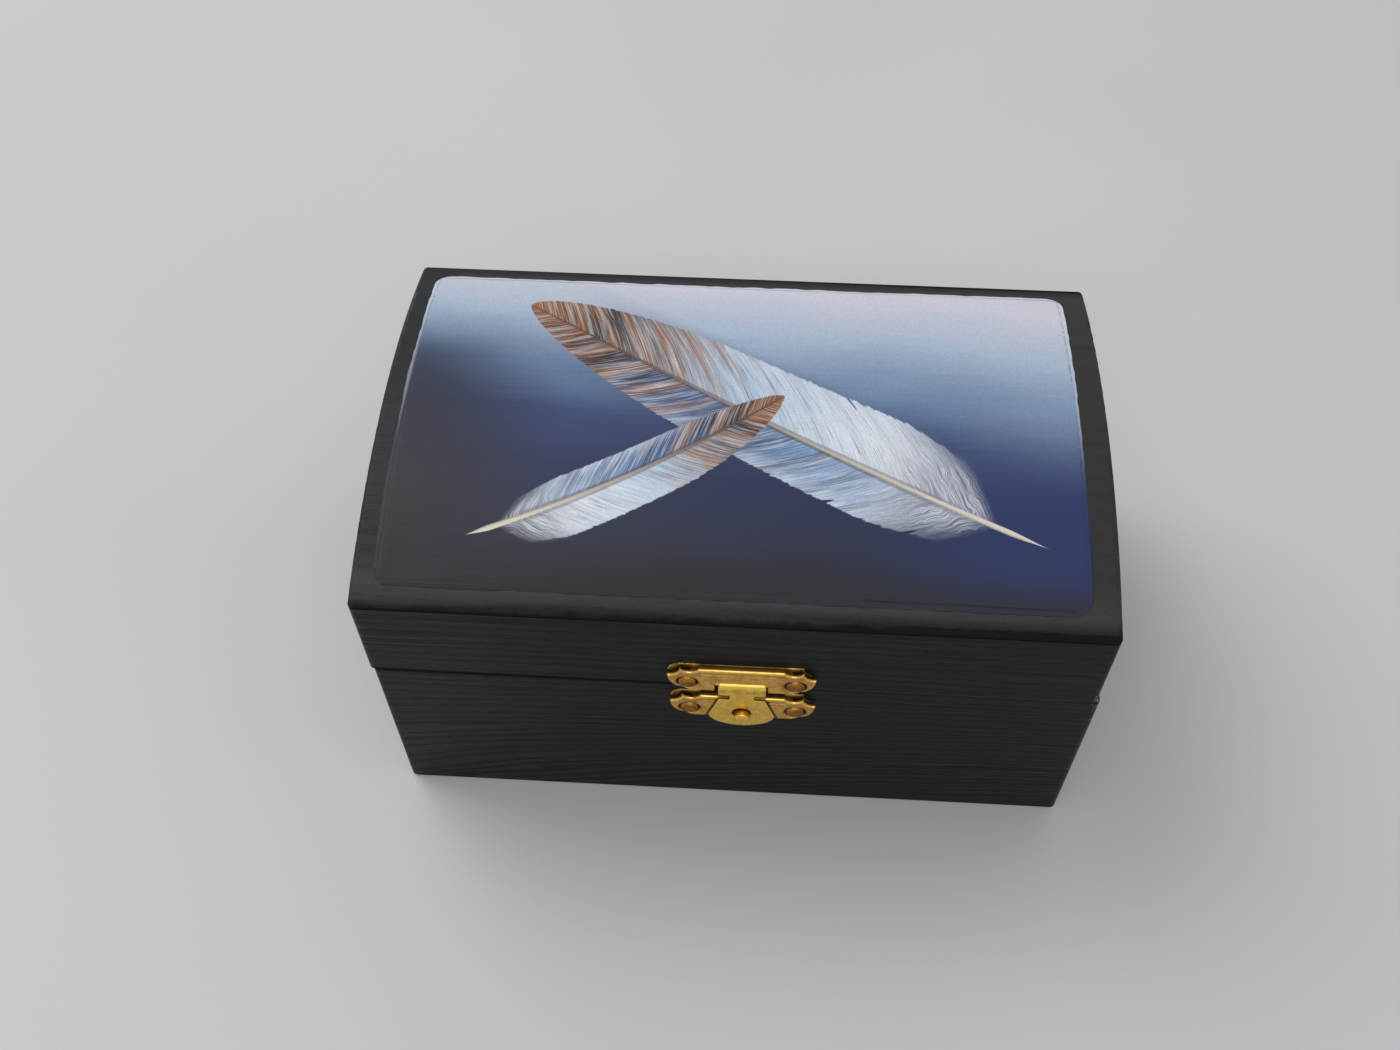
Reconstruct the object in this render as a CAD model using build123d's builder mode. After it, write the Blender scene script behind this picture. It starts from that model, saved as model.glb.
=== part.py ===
from build123d import *
import os

# A small wooden ditty box: a straight-sided base, a hinged lid with a barrel crown, and a brass latch.
#
# Frame: millimetres, +X to the right, +Y to the back, +Z up. The front, with the latch, faces -Y.
# The origin is the middle of the underside, on the surface that the box stands on.

# Driving dimensions, in millimetres.

# The wooden base
box_width = 152.0
box_depth = 92.6
base_height = 51.5
wall = 7.0
corner_lip = 3.5  # wood that the front and back boards keep outside the end boards
bottom_thickness = 3.2
bottom_rebate = 3.5  # how far the bottom panel is let into the walls

# The wooden lid
lid_frame_height = 24.0
crown_edge = 1.0  # thickness of the lid's top board along its long edges
crown_rise = 7.4  # height of the barrel crown above those edges
lid_shift = -0.65  # the lid sits a little to the left of the base
glue_line = 0.3  # width and depth of the joint line round the top board

# Roundings
corner_round = 1.2
crown_round = 1.8
foot_round = 0.8
seam_round = 0.2

# The paper print on the crown, and the borders of wood that it leaves
print_left_border = 4.2
print_right_border = 5.6
print_front_border = 4.1
print_back_border = 3.7
print_round = 3.6
print_thickness = 0.2

# The latch: two pressed plates
latch_x = 2.1  # middle of the lower plate and the stud
upper_plate_shift = -0.35  # the upper plate sits with the lid, a little to the left
hasp_shift = -0.15  # the hasp hangs a little to the left of the stud, within its side play
latch_sheet = 0.32
plate_width = 30.8
plate_height = 8.4
upper_plate_lift = 0.2  # from the seam up to the upper plate's lower edge
lower_plate_drop = 2.3  # from the seam down to the lower plate's top edge
plate_edge_round = 0.2
tip_drop = 2.5  # from the top edge down to the pointed ends
tooth_inset = 2.6  # from a pointed end in to the cusp beside it
tooth_rise = 0.5
scallop_width = 3.9
scallop_bow = 1.35  # how deep the scallop curves below a straight line between its ends
notch_bow = 0.85
lobe_inset = 5.6  # from a pointed end in to where the straight bottom edge starts
lobe_bow = 1.75
cusp_round = 0.25
cutout_height = 3.1
cutout_round = 0.7
band_depth = 0.16  # the long shallow channel pressed along each plate
band_height = 1.6
band_inset = 1.2

# The latch's nails
latch_nail_inset = 4.2  # from a plate's pointed end in to its nail
latch_nail_drop = 5.6  # from the plate's top edge down to its nails
latch_nail_head_radius = 2.1
latch_nail_head_height = 1.4
latch_nail_shank_radius = 0.6
latch_nail_length = 6.2
dimple_radius = 2.3
dimple_floor = 0.2  # height of the dimples' underside above the wood

# The hasp
hasp_pin_radius = 0.4
hasp_pin_grip = 2.0  # how far the pin reaches past the cut-out behind the plate, each side
hasp_run = 0.03
hasp_gap = 0.05  # between the hasp and what it lies on
hasp_top_gap = 0.28  # between the hasp's knuckle and the top of the cut-out
hasp_side_gap = 0.45
hasp_width = 9.8
hasp_top_height = 3.2  # from the pin down to the side slots
hasp_neck_width = 5.1
hasp_slot_height = 1.6
hasp_shoulder_width = 9.7
hasp_fan_width = 14.7  # between the corners of the fan, before they are rounded
hasp_fan_bow = 3.4  # how far the round lower edge hangs below those corners
hasp_fan_corner = 2.4
hasp_length = 16.0  # from the pin to the lowest point
hasp_edge_round = 0.1

# The stud that the hasp closes over
stud_drop = 10.5  # from the pin down to the stud
stud_radius = 1.6
stud_neck_radius = 1.0
stud_reach = 1.65  # how far the stud stands out of the hasp
stud_crown = 0.5  # depth of the stud's rounded end
stud_clearance = 0.4

# The hinges
hinge_inset = 31.0  # from the base's end in to the middle of a hinge
hinge_width = 16.0
leaf_height = 10.0
hinge_sheet = 0.55
hinge_pin_radius = 0.6
hinge_run = 0.05
hinge_pin_grip = 0.02  # clearance of the pin in the knuckles that hold it
knuckle_gap = 0.2
hinge_wood_gap = 0.1  # between the knuckles and the wood
leaf_knuckle_gap = 0.3  # between a leaf's flat and the other leaf's knuckles
leaf_corner = 1.2
hinge_nail_spread = 9.0
hinge_nail_drop = 6.2
hinge_nail_head_radius = 1.25
hinge_nail_head_height = 0.6
hinge_nail_shank_radius = 0.5
hinge_nail_length = 5.4

# Fits shared by every nail
nail_play = 0.03
nail_tip = 1.2
nail_rim = 0.1  # height of the straight rim under a nail's dome

# Places worked out from the dimensions above.

half_width = box_width / 2
half_depth = box_depth / 2
frame_top = base_height + lid_frame_height
crown_spring = frame_top + crown_edge
crown_top = crown_spring + crown_rise

hasp_x = latch_x + hasp_shift
hasp_knuckle_radius = hasp_pin_radius + hasp_run + latch_sheet
hasp_pin_stand = hasp_knuckle_radius + hasp_gap
plate_stand = hasp_pin_stand + hasp_pin_radius + hasp_run + latch_sheet
upper_plate_bottom = base_height + upper_plate_lift
upper_plate_top = upper_plate_bottom + plate_height
lower_plate_top = base_height - lower_plate_drop
cutout_width = hasp_width + 2 * hasp_side_gap
hasp_pin_height = upper_plate_bottom + cutout_height - hasp_top_gap - hasp_knuckle_radius
hasp_pin_length = cutout_width + 2 * hasp_pin_grip
hasp_back = plate_stand + hasp_gap
hasp_front = hasp_back + latch_sheet
stud_height = hasp_pin_height - stud_drop
latch_nail_x = plate_width / 2 - latch_nail_inset
latch_nail_seat = dimple_floor + latch_sheet
hollow_width = 2 * (latch_nail_x - dimple_radius - latch_sheet)

hinge_knuckle_radius = hinge_pin_radius + hinge_run + hinge_sheet
hinge_stand = hinge_knuckle_radius + hinge_wood_gap
hinge_axis_y = half_depth + hinge_stand
knuckle_length = (hinge_width - 2 * knuckle_gap) / 3
leaf_edge = hinge_knuckle_radius + leaf_knuckle_gap
hinge_reach = half_width - hinge_inset

# Sketches on these planes are seen as a viewer sees that face; +Z of the plane points out of the box.
front_plane = Plane(origin=(latch_x, -half_depth, 0), x_dir=(1, 0, 0), z_dir=(0, -1, 0))
hasp_plane = Plane(origin=(hasp_x, -half_depth, 0), x_dir=(1, 0, 0), z_dir=(0, -1, 0))
back_plane = Plane(origin=(0, half_depth, 0), x_dir=(-1, 0, 0), z_dir=(0, 1, 0))
upright = (Align.CENTER, Align.CENTER, Align.MIN)


def save(builder, node):
    """Labels a finished piece and writes it as one STEP file."""
    builder.part.label = node
    export_step(builder.part, f"parts/{node}.step")


# The two wooden blocks whose outer skins the boards share.


def base_block():
    """The base as one block, with every outer edge eased."""
    with BuildPart() as block:
        Box(box_width, box_depth, base_height, align=upright)
        fillet(block.edges().filter_by(Axis.Z), corner_round)
        fillet(block.faces().sort_by(Axis.Z)[0].edges(), foot_round)
        fillet(block.faces().sort_by(Axis.Z)[-1].edges(), seam_round)
    return block.part


def lid_block():
    """The lid as one block with its barrel crown, every outer edge eased."""
    with BuildPart() as block:
        with BuildSketch(Plane.YZ.offset(lid_shift - half_width)):
            with BuildLine():
                crown = ThreePointArc(
                    (half_depth, crown_spring), (0, crown_top), (-half_depth, crown_spring)
                )
                Polyline(crown @ 1, (-half_depth, base_height), (half_depth, base_height), crown @ 0)
            make_face()
            fillet(vertices().filter_by_position(Axis.Y, crown_spring, crown_spring), crown_round)
        extrude(amount=box_width)
        end_edges = block.faces().filter_by(Axis.X).edges()
        fillet(end_edges - end_edges.group_by(Axis.Z)[0], corner_round)
        fillet(block.faces().sort_by(Axis.Z)[0].edges(), seam_round)
    return block.part


base_skin = base_block()
lid_skin = lid_block()


# Boards


def nail_points(centre_x, reach, height):
    """The two places of a pair of nails at one height, on a face's sketch plane."""
    return [(centre_x - reach, height), (centre_x + reach, height)]


def drill(face_plane, points, radius, depth):
    """Cuts pilot holes for nails into the piece being built."""
    with BuildSketch(face_plane) as holes:
        with Locations(*points):
            Circle(radius + nail_play)
    extrude(holes.sketch, amount=-depth - nail_play, mode=Mode.SUBTRACT)


def long_board(skin, low, height, shift, side, face_plane, points, radius, depth):
    """A front (side -1) or back (side 1) board, rebated at its ends for the end boards."""
    with BuildPart() as board:
        with Locations((shift, side * (half_depth - wall / 2), low)):
            Box(box_width, wall, height, align=upright)
        rebate_y = side * (half_depth - (wall + corner_lip) / 2)
        with Locations(*[(shift + end * (half_width - wall / 2), rebate_y, low) for end in (-1, 1)]):
            Box(wall, wall - corner_lip, height, align=upright, mode=Mode.SUBTRACT)
        add(skin, mode=Mode.INTERSECT)
        drill(face_plane, points, radius, depth)
    return board


def end_board(skin, low, height, shift, side):
    """A left (side -1) or right (side 1) end board, held between the front and back boards."""
    with BuildPart() as board:
        with Locations((shift + side * (half_width - wall / 2), 0, low)):
            Box(wall, box_depth - 2 * corner_lip, height, align=upright)
        add(skin, mode=Mode.INTERSECT)
    return board


def let_in_bottom(board):
    """Cuts the rebate for the bottom panel into a wall of the base."""
    with BuildPart() as rebated:
        add(board.part)
        Box(*bottom_size, align=upright, mode=Mode.SUBTRACT)
    return rebated


def score_glue_line(board):
    """Cuts the fine joint line under the lid's top board, round the top of a frame board."""
    with BuildPart() as scored:
        add(board.part)
        with BuildSketch(Plane.XY.offset(frame_top)):
            with Locations((lid_shift, 0)):
                Rectangle(box_width + wall, box_depth + wall)
                Rectangle(box_width - 2 * glue_line, box_depth - 2 * glue_line, mode=Mode.SUBTRACT)
        extrude(amount=-glue_line, mode=Mode.SUBTRACT)
    return scored


bottom_size = (
    box_width - 2 * (wall - bottom_rebate),
    box_depth - 2 * (wall - bottom_rebate),
    bottom_thickness,
)


def hinge_nail_points(height):
    """The four nail places of a pair of leaves, on the back's sketch plane."""
    points = []
    for hinge in (-1, 1):
        points += nail_points(hinge * hinge_reach, hinge_nail_spread / 2, height)
    return points


latch_nails_lower = nail_points(0, latch_nail_x, lower_plate_top - latch_nail_drop)
latch_nails_upper = nail_points(upper_plate_shift, latch_nail_x, upper_plate_top - latch_nail_drop)
hinge_nails_lower = hinge_nail_points(base_height - hinge_nail_drop)
hinge_nails_upper = hinge_nail_points(base_height + hinge_nail_drop)
latch_drill = (latch_nail_shank_radius, latch_nail_length - latch_nail_seat)
hinge_drill = (hinge_nail_shank_radius, hinge_nail_length - hinge_sheet)

base_boards = {
    "base_front": long_board(
        base_skin, 0, base_height, 0, -1, front_plane, latch_nails_lower, *latch_drill
    ),
    "base_back": long_board(
        base_skin, 0, base_height, 0, 1, back_plane, hinge_nails_lower, *hinge_drill
    ),
    "base_left_end": end_board(base_skin, 0, base_height, 0, -1),
    "base_right_end": end_board(base_skin, 0, base_height, 0, 1),
}
lid_boards = {
    "lid_front": long_board(
        lid_skin, base_height, lid_frame_height, lid_shift, -1, front_plane, latch_nails_upper, *latch_drill
    ),
    "lid_back": long_board(
        lid_skin, base_height, lid_frame_height, lid_shift, 1, back_plane, hinge_nails_upper, *hinge_drill
    ),
    "lid_left_end": end_board(lid_skin, base_height, lid_frame_height, lid_shift, -1),
    "lid_right_end": end_board(lid_skin, base_height, lid_frame_height, lid_shift, 1),
}

with BuildPart() as base_bottom:
    Box(*bottom_size, align=upright)

# A solid board, flat underneath and planed to the barrel curve above.
with BuildPart() as lid_top:
    with Locations((lid_shift, 0, frame_top)):
        Box(box_width, box_depth, crown_edge + crown_rise, align=upright)
    add(lid_skin, mode=Mode.INTERSECT)


# The paper print, a thin curved sheet with rounded corners lying on the crown

crown_radius = (half_depth**2 + crown_rise**2) / (2 * crown_rise)
crown_centre = crown_top - crown_radius
print_width = box_width - print_left_border - print_right_border
print_depth = box_depth - print_front_border - print_back_border
print_centre_x = lid_shift + (print_left_border - print_right_border) / 2
print_centre_y = (print_front_border - print_back_border) / 2

with BuildPart() as lid_print:
    with BuildSketch(Plane.YZ.offset(print_centre_x - print_width / 2)):
        with Locations((0, crown_centre)):
            Circle(crown_radius + print_thickness)
            Circle(crown_radius, mode=Mode.SUBTRACT)
    extrude(amount=print_width)
    with BuildSketch(Plane.XY.offset(frame_top)):
        with Locations((print_centre_x, print_centre_y)):
            RectangleRounded(print_width, print_depth, print_round)
    extrude(amount=2 * (crown_edge + crown_rise), mode=Mode.INTERSECT)


# The latch's two pressed plates


def plate_outline(cutout):
    """The cusped outline of a latch plate, its straight top edge at local height 0."""
    tip_x = plate_width / 2
    tooth_x = tip_x - tooth_inset
    with BuildSketch() as outline:
        with BuildLine():
            Line((0, 0), (tooth_x - scallop_width, 0))
            SagittaArc((tooth_x - scallop_width, 0), (tooth_x, tooth_rise), -scallop_bow)
            SagittaArc((tooth_x, tooth_rise), (tip_x, -tip_drop), -notch_bow)
            SagittaArc((tip_x, -tip_drop), (tip_x - lobe_inset, -plate_height), lobe_bow)
            Line((tip_x - lobe_inset, -plate_height), (0, -plate_height))
            mirror(about=Plane.YZ)
        make_face()
        fillet([v for v in outline.vertices() if abs(v.X) > tooth_x - cusp_round], cusp_round)
        if cutout:
            with Locations((0, -plate_height)):
                Rectangle(cutout_width, 2 * cutout_height, mode=Mode.SUBTRACT)
            fillet(outline.vertices().filter_by_position(
                Axis.Y, cutout_height - plate_height, cutout_height - plate_height
            ), cutout_round)
    return outline.sketch


def latch_plate(middle, top, cutout):
    """A plate pressed from thin sheet: a shallow pan, rim to the wood, with a dimple round each nail."""
    outline = plate_outline(cutout)
    face = Plane((middle, -half_depth, top), x_dir=front_plane.x_dir, z_dir=front_plane.z_dir)
    nails = nail_points(0, latch_nail_x, -latch_nail_drop)
    with BuildPart() as plate:
        with BuildSketch(face):
            add(outline)
        extrude(amount=plate_stand)
        fillet(plate.faces().sort_by(Axis.Y)[0].edges(), plate_edge_round)
        with BuildSketch(face):
            with Locations((0, -plate_height / 2)):
                Rectangle(hollow_width, plate_height - 2 * latch_sheet)
            if cutout:
                with Locations((0, -plate_height)):
                    Rectangle(
                        cutout_width + 2 * latch_sheet,
                        2 * (cutout_height + latch_sheet),
                        mode=Mode.SUBTRACT,
                    )
        extrude(amount=plate_stand - latch_sheet, mode=Mode.SUBTRACT)
        with BuildSketch(face):
            with Locations(*nails):
                Circle(dimple_radius)
        extrude(amount=dimple_floor, mode=Mode.SUBTRACT)
        with BuildSketch(face.offset(plate_stand)):
            with Locations(*nails):
                Circle(dimple_radius)
        extrude(amount=latch_nail_seat - plate_stand, mode=Mode.SUBTRACT)
        with BuildSketch(face.offset(plate_stand)):
            with Locations((0, -band_inset - band_height / 2)):
                Rectangle(hollow_width, band_height)
        extrude(amount=-band_depth, mode=Mode.SUBTRACT)
        with BuildSketch(face):
            with Locations(*nails):
                Circle(latch_nail_shank_radius + nail_play)
        extrude(amount=plate_stand, mode=Mode.SUBTRACT)
    return plate


def across(length, radius, mode=Mode.ADD):
    """A cylinder on the hasp's pin line, used for the pin, the knuckle and the bores."""
    with Locations(Location((hasp_x, -half_depth - hasp_pin_stand, hasp_pin_height), (0, 90, 0))):
        Cylinder(radius, length, mode=mode)


with BuildPart() as upper_plate:
    add(latch_plate(latch_x + upper_plate_shift, upper_plate_top, True).part)
    across(hasp_pin_length + hasp_run, hasp_pin_radius + hasp_run, Mode.SUBTRACT)

with BuildPart() as lower_plate:
    add(latch_plate(latch_x, lower_plate_top, False).part)
    with BuildSketch(front_plane):
        with Locations((0, stud_height)):
            Circle(stud_neck_radius + nail_play)
    extrude(amount=plate_stand, mode=Mode.SUBTRACT)

with BuildPart() as hasp_pin:
    across(hasp_pin_length, hasp_pin_radius)


# The hasp: a knuckle rolled round the pin, and a flat fan-shaped tongue with a hole for the stud

slot_top = hasp_pin_height - hasp_top_height
slot_low = slot_top - hasp_slot_height
fan_low = hasp_pin_height - hasp_length
fan_corner_height = fan_low + hasp_fan_bow
fan_radius = ((hasp_fan_width / 2) ** 2 + hasp_fan_bow**2) / (2 * hasp_fan_bow)
pin_section = Plane(
    origin=(hasp_x + hasp_width / 2, -half_depth - hasp_pin_stand, hasp_pin_height),
    x_dir=(0, -1, 0),
    z_dir=(-1, 0, 0),
)

with BuildPart() as hasp:
    with BuildSketch(hasp_plane.offset(hasp_back)):
        with BuildLine():
            Polyline(
                (0, hasp_pin_height - 2 * hasp_knuckle_radius),
                (hasp_width / 2, hasp_pin_height - 2 * hasp_knuckle_radius),
                (hasp_width / 2, slot_top),
                (hasp_neck_width / 2, slot_top),
                (hasp_neck_width / 2, slot_low),
                (hasp_shoulder_width / 2, slot_low),
                (hasp_fan_width / 2, fan_corner_height),
            )
            RadiusArc((hasp_fan_width / 2, fan_corner_height), (0, fan_low), fan_radius)
            mirror(about=Plane.YZ)
        make_face()
        fillet(
            vertices().filter_by_position(Axis.Y, fan_corner_height, fan_corner_height), hasp_fan_corner
        )
        with Locations((0, stud_height)):
            Circle(stud_radius + stud_clearance, mode=Mode.SUBTRACT)
    extrude(amount=latch_sheet)
    fillet(hasp.faces().sort_by(Axis.Y)[0].outer_wire().edges(), hasp_edge_round)
    # The sheet runs from the knuckle's front out to the flat tongue, which lies over both plates.
    with BuildSketch(pin_section):
        with BuildLine():
            Polyline(
                (hasp_knuckle_radius - latch_sheet, 0),
                (hasp_knuckle_radius, 0),
                (hasp_front - hasp_pin_stand, -2 * hasp_knuckle_radius),
                (hasp_back - hasp_pin_stand, -2 * hasp_knuckle_radius),
                close=True,
            )
        make_face()
    extrude(amount=hasp_width)
    across(hasp_width, hasp_knuckle_radius)
    across(hasp_width, hasp_pin_radius + hasp_run, Mode.SUBTRACT)

# The stud that the hasp closes over, riveted through the lower plate.
stud_end = hasp_front + stud_reach
with BuildPart() as catch_stud:
    stud_plane = Plane(origin=(latch_x, -half_depth, stud_height), x_dir=(0, 0, 1), z_dir=(1, 0, 0))
    with BuildSketch(stud_plane):
        with BuildLine():
            head = TangentArc((0, stud_end), (stud_radius, stud_end - stud_crown), tangent=(1, 0))
            Polyline(
                head @ 1,
                (stud_radius, plate_stand),
                (stud_neck_radius, plate_stand),
                (stud_neck_radius, plate_stand - latch_sheet),
                (stud_radius, plate_stand - latch_sheet),
                (stud_radius, hasp_gap),
                (0, hasp_gap),
                head @ 0,
            )
        make_face()
    revolve(axis=Axis((latch_x, -half_depth, stud_height), (0, 1, 0)))


# Nails


def nail(head_radius, head_height, shank_radius, length):
    """A round-headed nail along Z, its head's flat underside at height 0."""
    with BuildPart() as one:
        with BuildSketch(Plane.XZ):
            with BuildLine():
                dome = TangentArc((0, head_height), (head_radius, nail_rim), tangent=(1, 0))
                Polyline(
                    dome @ 1,
                    (head_radius, 0),
                    (shank_radius, 0),
                    (shank_radius, nail_tip - length),
                    (0, -length),
                    dome @ 0,
                )
            make_face()
        revolve(axis=Axis.Z)
    return one.part


def nail_set(face_plane, points, seat, one):
    """The same nail at each of several places on a face, as separate solids."""
    with BuildPart() as nails:
        with Locations(face_plane.offset(seat)):
            with Locations(*[(x, z, 0) for x, z in points]):
                add(one)
    return nails


latch_nail = nail(
    latch_nail_head_radius, latch_nail_head_height, latch_nail_shank_radius, latch_nail_length
)
hinge_nail = nail(
    hinge_nail_head_radius, hinge_nail_head_height, hinge_nail_shank_radius, hinge_nail_length
)
nail_sets = {
    "upper_plate_nails": nail_set(front_plane, latch_nails_upper, latch_nail_seat, latch_nail),
    "lower_plate_nails": nail_set(front_plane, latch_nails_lower, latch_nail_seat, latch_nail),
    "lid_hinge_nails": nail_set(back_plane, hinge_nails_upper, hinge_sheet, hinge_nail),
    "base_hinge_nails": nail_set(back_plane, hinge_nails_lower, hinge_sheet, hinge_nail),
}


# Hinges: two leaves nailed to the back, their knuckles outside the wood on a line with the seam


def hinge_cylinder(centre_x, length, radius, mode=Mode.ADD):
    """A cylinder on the hinge line, used for pins, knuckles and bores."""
    with Locations(Location((centre_x, hinge_axis_y, base_height), (0, 90, 0))):
        Cylinder(radius, length, mode=mode)


def hinge_leaf(centre_x, side, knuckles, bore):
    """A leaf above (side 1) or below (side -1) the hinge line; knuckles are offsets along X from its middle."""
    leaf_middle = side * (leaf_edge + leaf_height) / 2
    with BuildPart() as leaf:
        with BuildSketch(back_plane):
            with Locations((-centre_x, base_height + leaf_middle)):
                Rectangle(hinge_width, leaf_height - leaf_edge)
            corners = leaf_corners(side)
            fillet(corners, leaf_corner)
            with Locations(*[(-centre_x - k, base_height + side * leaf_edge / 2) for k in knuckles]):
                Rectangle(knuckle_length, leaf_edge)
        extrude(amount=hinge_sheet)
        for k in knuckles:
            hinge_cylinder(centre_x + k, knuckle_length, hinge_knuckle_radius)
        hinge_cylinder(centre_x, hinge_width, bore, Mode.SUBTRACT)
        with BuildSketch(back_plane):
            with Locations(
                *nail_points(-centre_x, hinge_nail_spread / 2, base_height + side * hinge_nail_drop)
            ):
                Circle(hinge_nail_shank_radius + nail_play)
        extrude(amount=hinge_sheet, mode=Mode.SUBTRACT)
    return leaf


def leaf_corners(side):
    """The two outer corners of the leaf being sketched, away from the hinge line."""
    return vertices().group_by(Axis.Y)[-1 if side > 0 else 0]


outer_knuckles = (-(knuckle_length + knuckle_gap), knuckle_length + knuckle_gap)
hinges = {}
for hinge_name, hinge_side in (("left", -1), ("right", 1)):
    hinge_x = hinge_side * hinge_reach
    hinges[f"{hinge_name}_hinge_lid_leaf"] = hinge_leaf(
        hinge_x, 1, (0,), hinge_pin_radius + hinge_run
    )
    hinges[f"{hinge_name}_hinge_base_leaf"] = hinge_leaf(
        hinge_x, -1, outer_knuckles, hinge_pin_radius + hinge_pin_grip
    )
    with BuildPart() as hinge_pin:
        hinge_cylinder(hinge_x, hinge_width, hinge_pin_radius)
    hinges[f"{hinge_name}_hinge_pin"] = hinge_pin


# Export, one file for each piece

os.makedirs("parts", exist_ok=True)
for board_name, board in base_boards.items():
    save(let_in_bottom(board), board_name)
for board_name, board in lid_boards.items():
    save(score_glue_line(board), board_name)
for piece_name, piece in {**nail_sets, **hinges}.items():
    save(piece, piece_name)
save(base_bottom, "base_bottom")
save(lid_top, "lid_top")
save(lid_print, "lid_print")
save(upper_plate, "upper_plate")
save(lower_plate, "lower_plate")
save(hasp_pin, "hasp_pin")
save(hasp, "hasp")
save(catch_stud, "catch_stud")
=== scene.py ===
import math

import bmesh
import bpy
import numpy as np
from mathutils import Matrix, Vector
from mathutils.geometry import delaunay_2d_cdt


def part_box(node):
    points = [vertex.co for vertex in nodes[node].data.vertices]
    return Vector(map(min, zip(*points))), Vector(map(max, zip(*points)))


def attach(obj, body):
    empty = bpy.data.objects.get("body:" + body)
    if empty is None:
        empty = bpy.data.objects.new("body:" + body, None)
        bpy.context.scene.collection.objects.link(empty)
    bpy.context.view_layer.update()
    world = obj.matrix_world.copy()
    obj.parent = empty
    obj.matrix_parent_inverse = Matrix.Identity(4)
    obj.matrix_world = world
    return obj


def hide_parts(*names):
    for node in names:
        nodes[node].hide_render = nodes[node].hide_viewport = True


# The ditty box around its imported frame. Blender's units are metres; the sizes below are millimetres
# and are multiplied by MM. The front, with the latch, faces -Y.

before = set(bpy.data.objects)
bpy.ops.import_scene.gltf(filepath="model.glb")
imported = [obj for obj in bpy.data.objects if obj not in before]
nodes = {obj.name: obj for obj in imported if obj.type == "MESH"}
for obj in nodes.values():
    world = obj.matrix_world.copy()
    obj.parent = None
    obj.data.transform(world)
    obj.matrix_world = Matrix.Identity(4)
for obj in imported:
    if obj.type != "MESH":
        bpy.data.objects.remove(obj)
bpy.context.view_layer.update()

MM = 0.001
TO_MM = 1000.0
FULL_TURN = 2 * math.pi
FORWARD = (0, -1, 0)
rng = np.random.default_rng(7)


def span(node):
    """The lowest and highest corner of a CAD node, in millimetres."""
    low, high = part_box(node)
    return np.array(low) / MM, np.array(high) / MM


def centre_of(node):
    """The middle of a CAD node, in millimetres."""
    return sum(span(node)) / 2


# Places read from the frame, in millimetres.

base_low, base_high = span("base_front")
end_high = span("base_left_end")[1]
FRONT_Y = base_low[1]
BACK_Y = span("base_back")[1][1]
HALF_WIDTH = (base_high[0] - base_low[0]) / 2
HALF_DEPTH = (BACK_Y - FRONT_Y) / 2
SEAM_Z = base_high[2]
FRAME_TOP = span("lid_top")[0][2]
LID_SHIFT = centre_of("lid_front")[0]
WALL = HALF_WIDTH + end_high[0]
CORNER_LIP = HALF_DEPTH - end_high[1]


# Fields: numbers worked out at each point of a surface by a chain of shader nodes.


def plug(value, slot, tree):
    """Links a field or a socket to a node's input, or sets the input to a constant."""
    source = value.socket if isinstance(value, Field) else value
    if isinstance(source, bpy.types.NodeSocket):
        tree.links.new(source, slot)
    else:
        slot.default_value = source


def add_node(tree, kind, **inputs):
    """Adds a shader node and plugs its inputs; _ stands for the space in an input's name."""
    node = tree.nodes.new(kind)
    for name, value in inputs.items():
        plug(value, node.inputs[name.replace("_", " ")], tree)
    return node


def operator(operation, *first):
    """A method of Field that feeds the field and its partners to a math node."""
    return lambda self, *others: self.math(operation, *first, *others)


class Field:
    """A shader socket that can be written in formulas with numbers and other fields."""

    def __init__(self, tree, socket):
        self.tree = tree
        self.socket = socket

    def math(self, operation, *others):
        node = add_node(self.tree, "ShaderNodeMath")
        node.operation = operation
        for slot, value in zip(node.inputs, (self, *others)):
            plug(value, slot, self.tree)
        return Field(self.tree, node.outputs[0])

    __add__ = __radd__ = operator("ADD")
    __sub__ = operator("SUBTRACT")
    __rsub__ = operator("MULTIPLY_ADD", -1.0)
    __mul__ = operator("MULTIPLY")
    __truediv__ = operator("DIVIDE")
    __pow__ = operator("POWER")
    abs = operator("ABSOLUTE")
    low = operator("MINIMUM")
    high = operator("MAXIMUM")

    def rise(self, start, end):
        """0 before start, 1 after end, smooth between them; start may be above end."""
        flip = float(start > end)
        ends = {"From_Min": min(start, end), "From_Max": max(start, end)}
        levels = {"To_Min": flip, "To_Max": 1.0 - flip}
        node = add_node(self.tree, "ShaderNodeMapRange", Value=self, **ends, **levels)
        node.interpolation_type = "SMOOTHSTEP"
        return Field(self.tree, node.outputs["Result"])

    def hump(self, centre, reach):
        """1 at centre, falling smoothly to 0 at reach on both sides."""
        return (self - centre).abs().rise(reach, 0.0)


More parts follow.
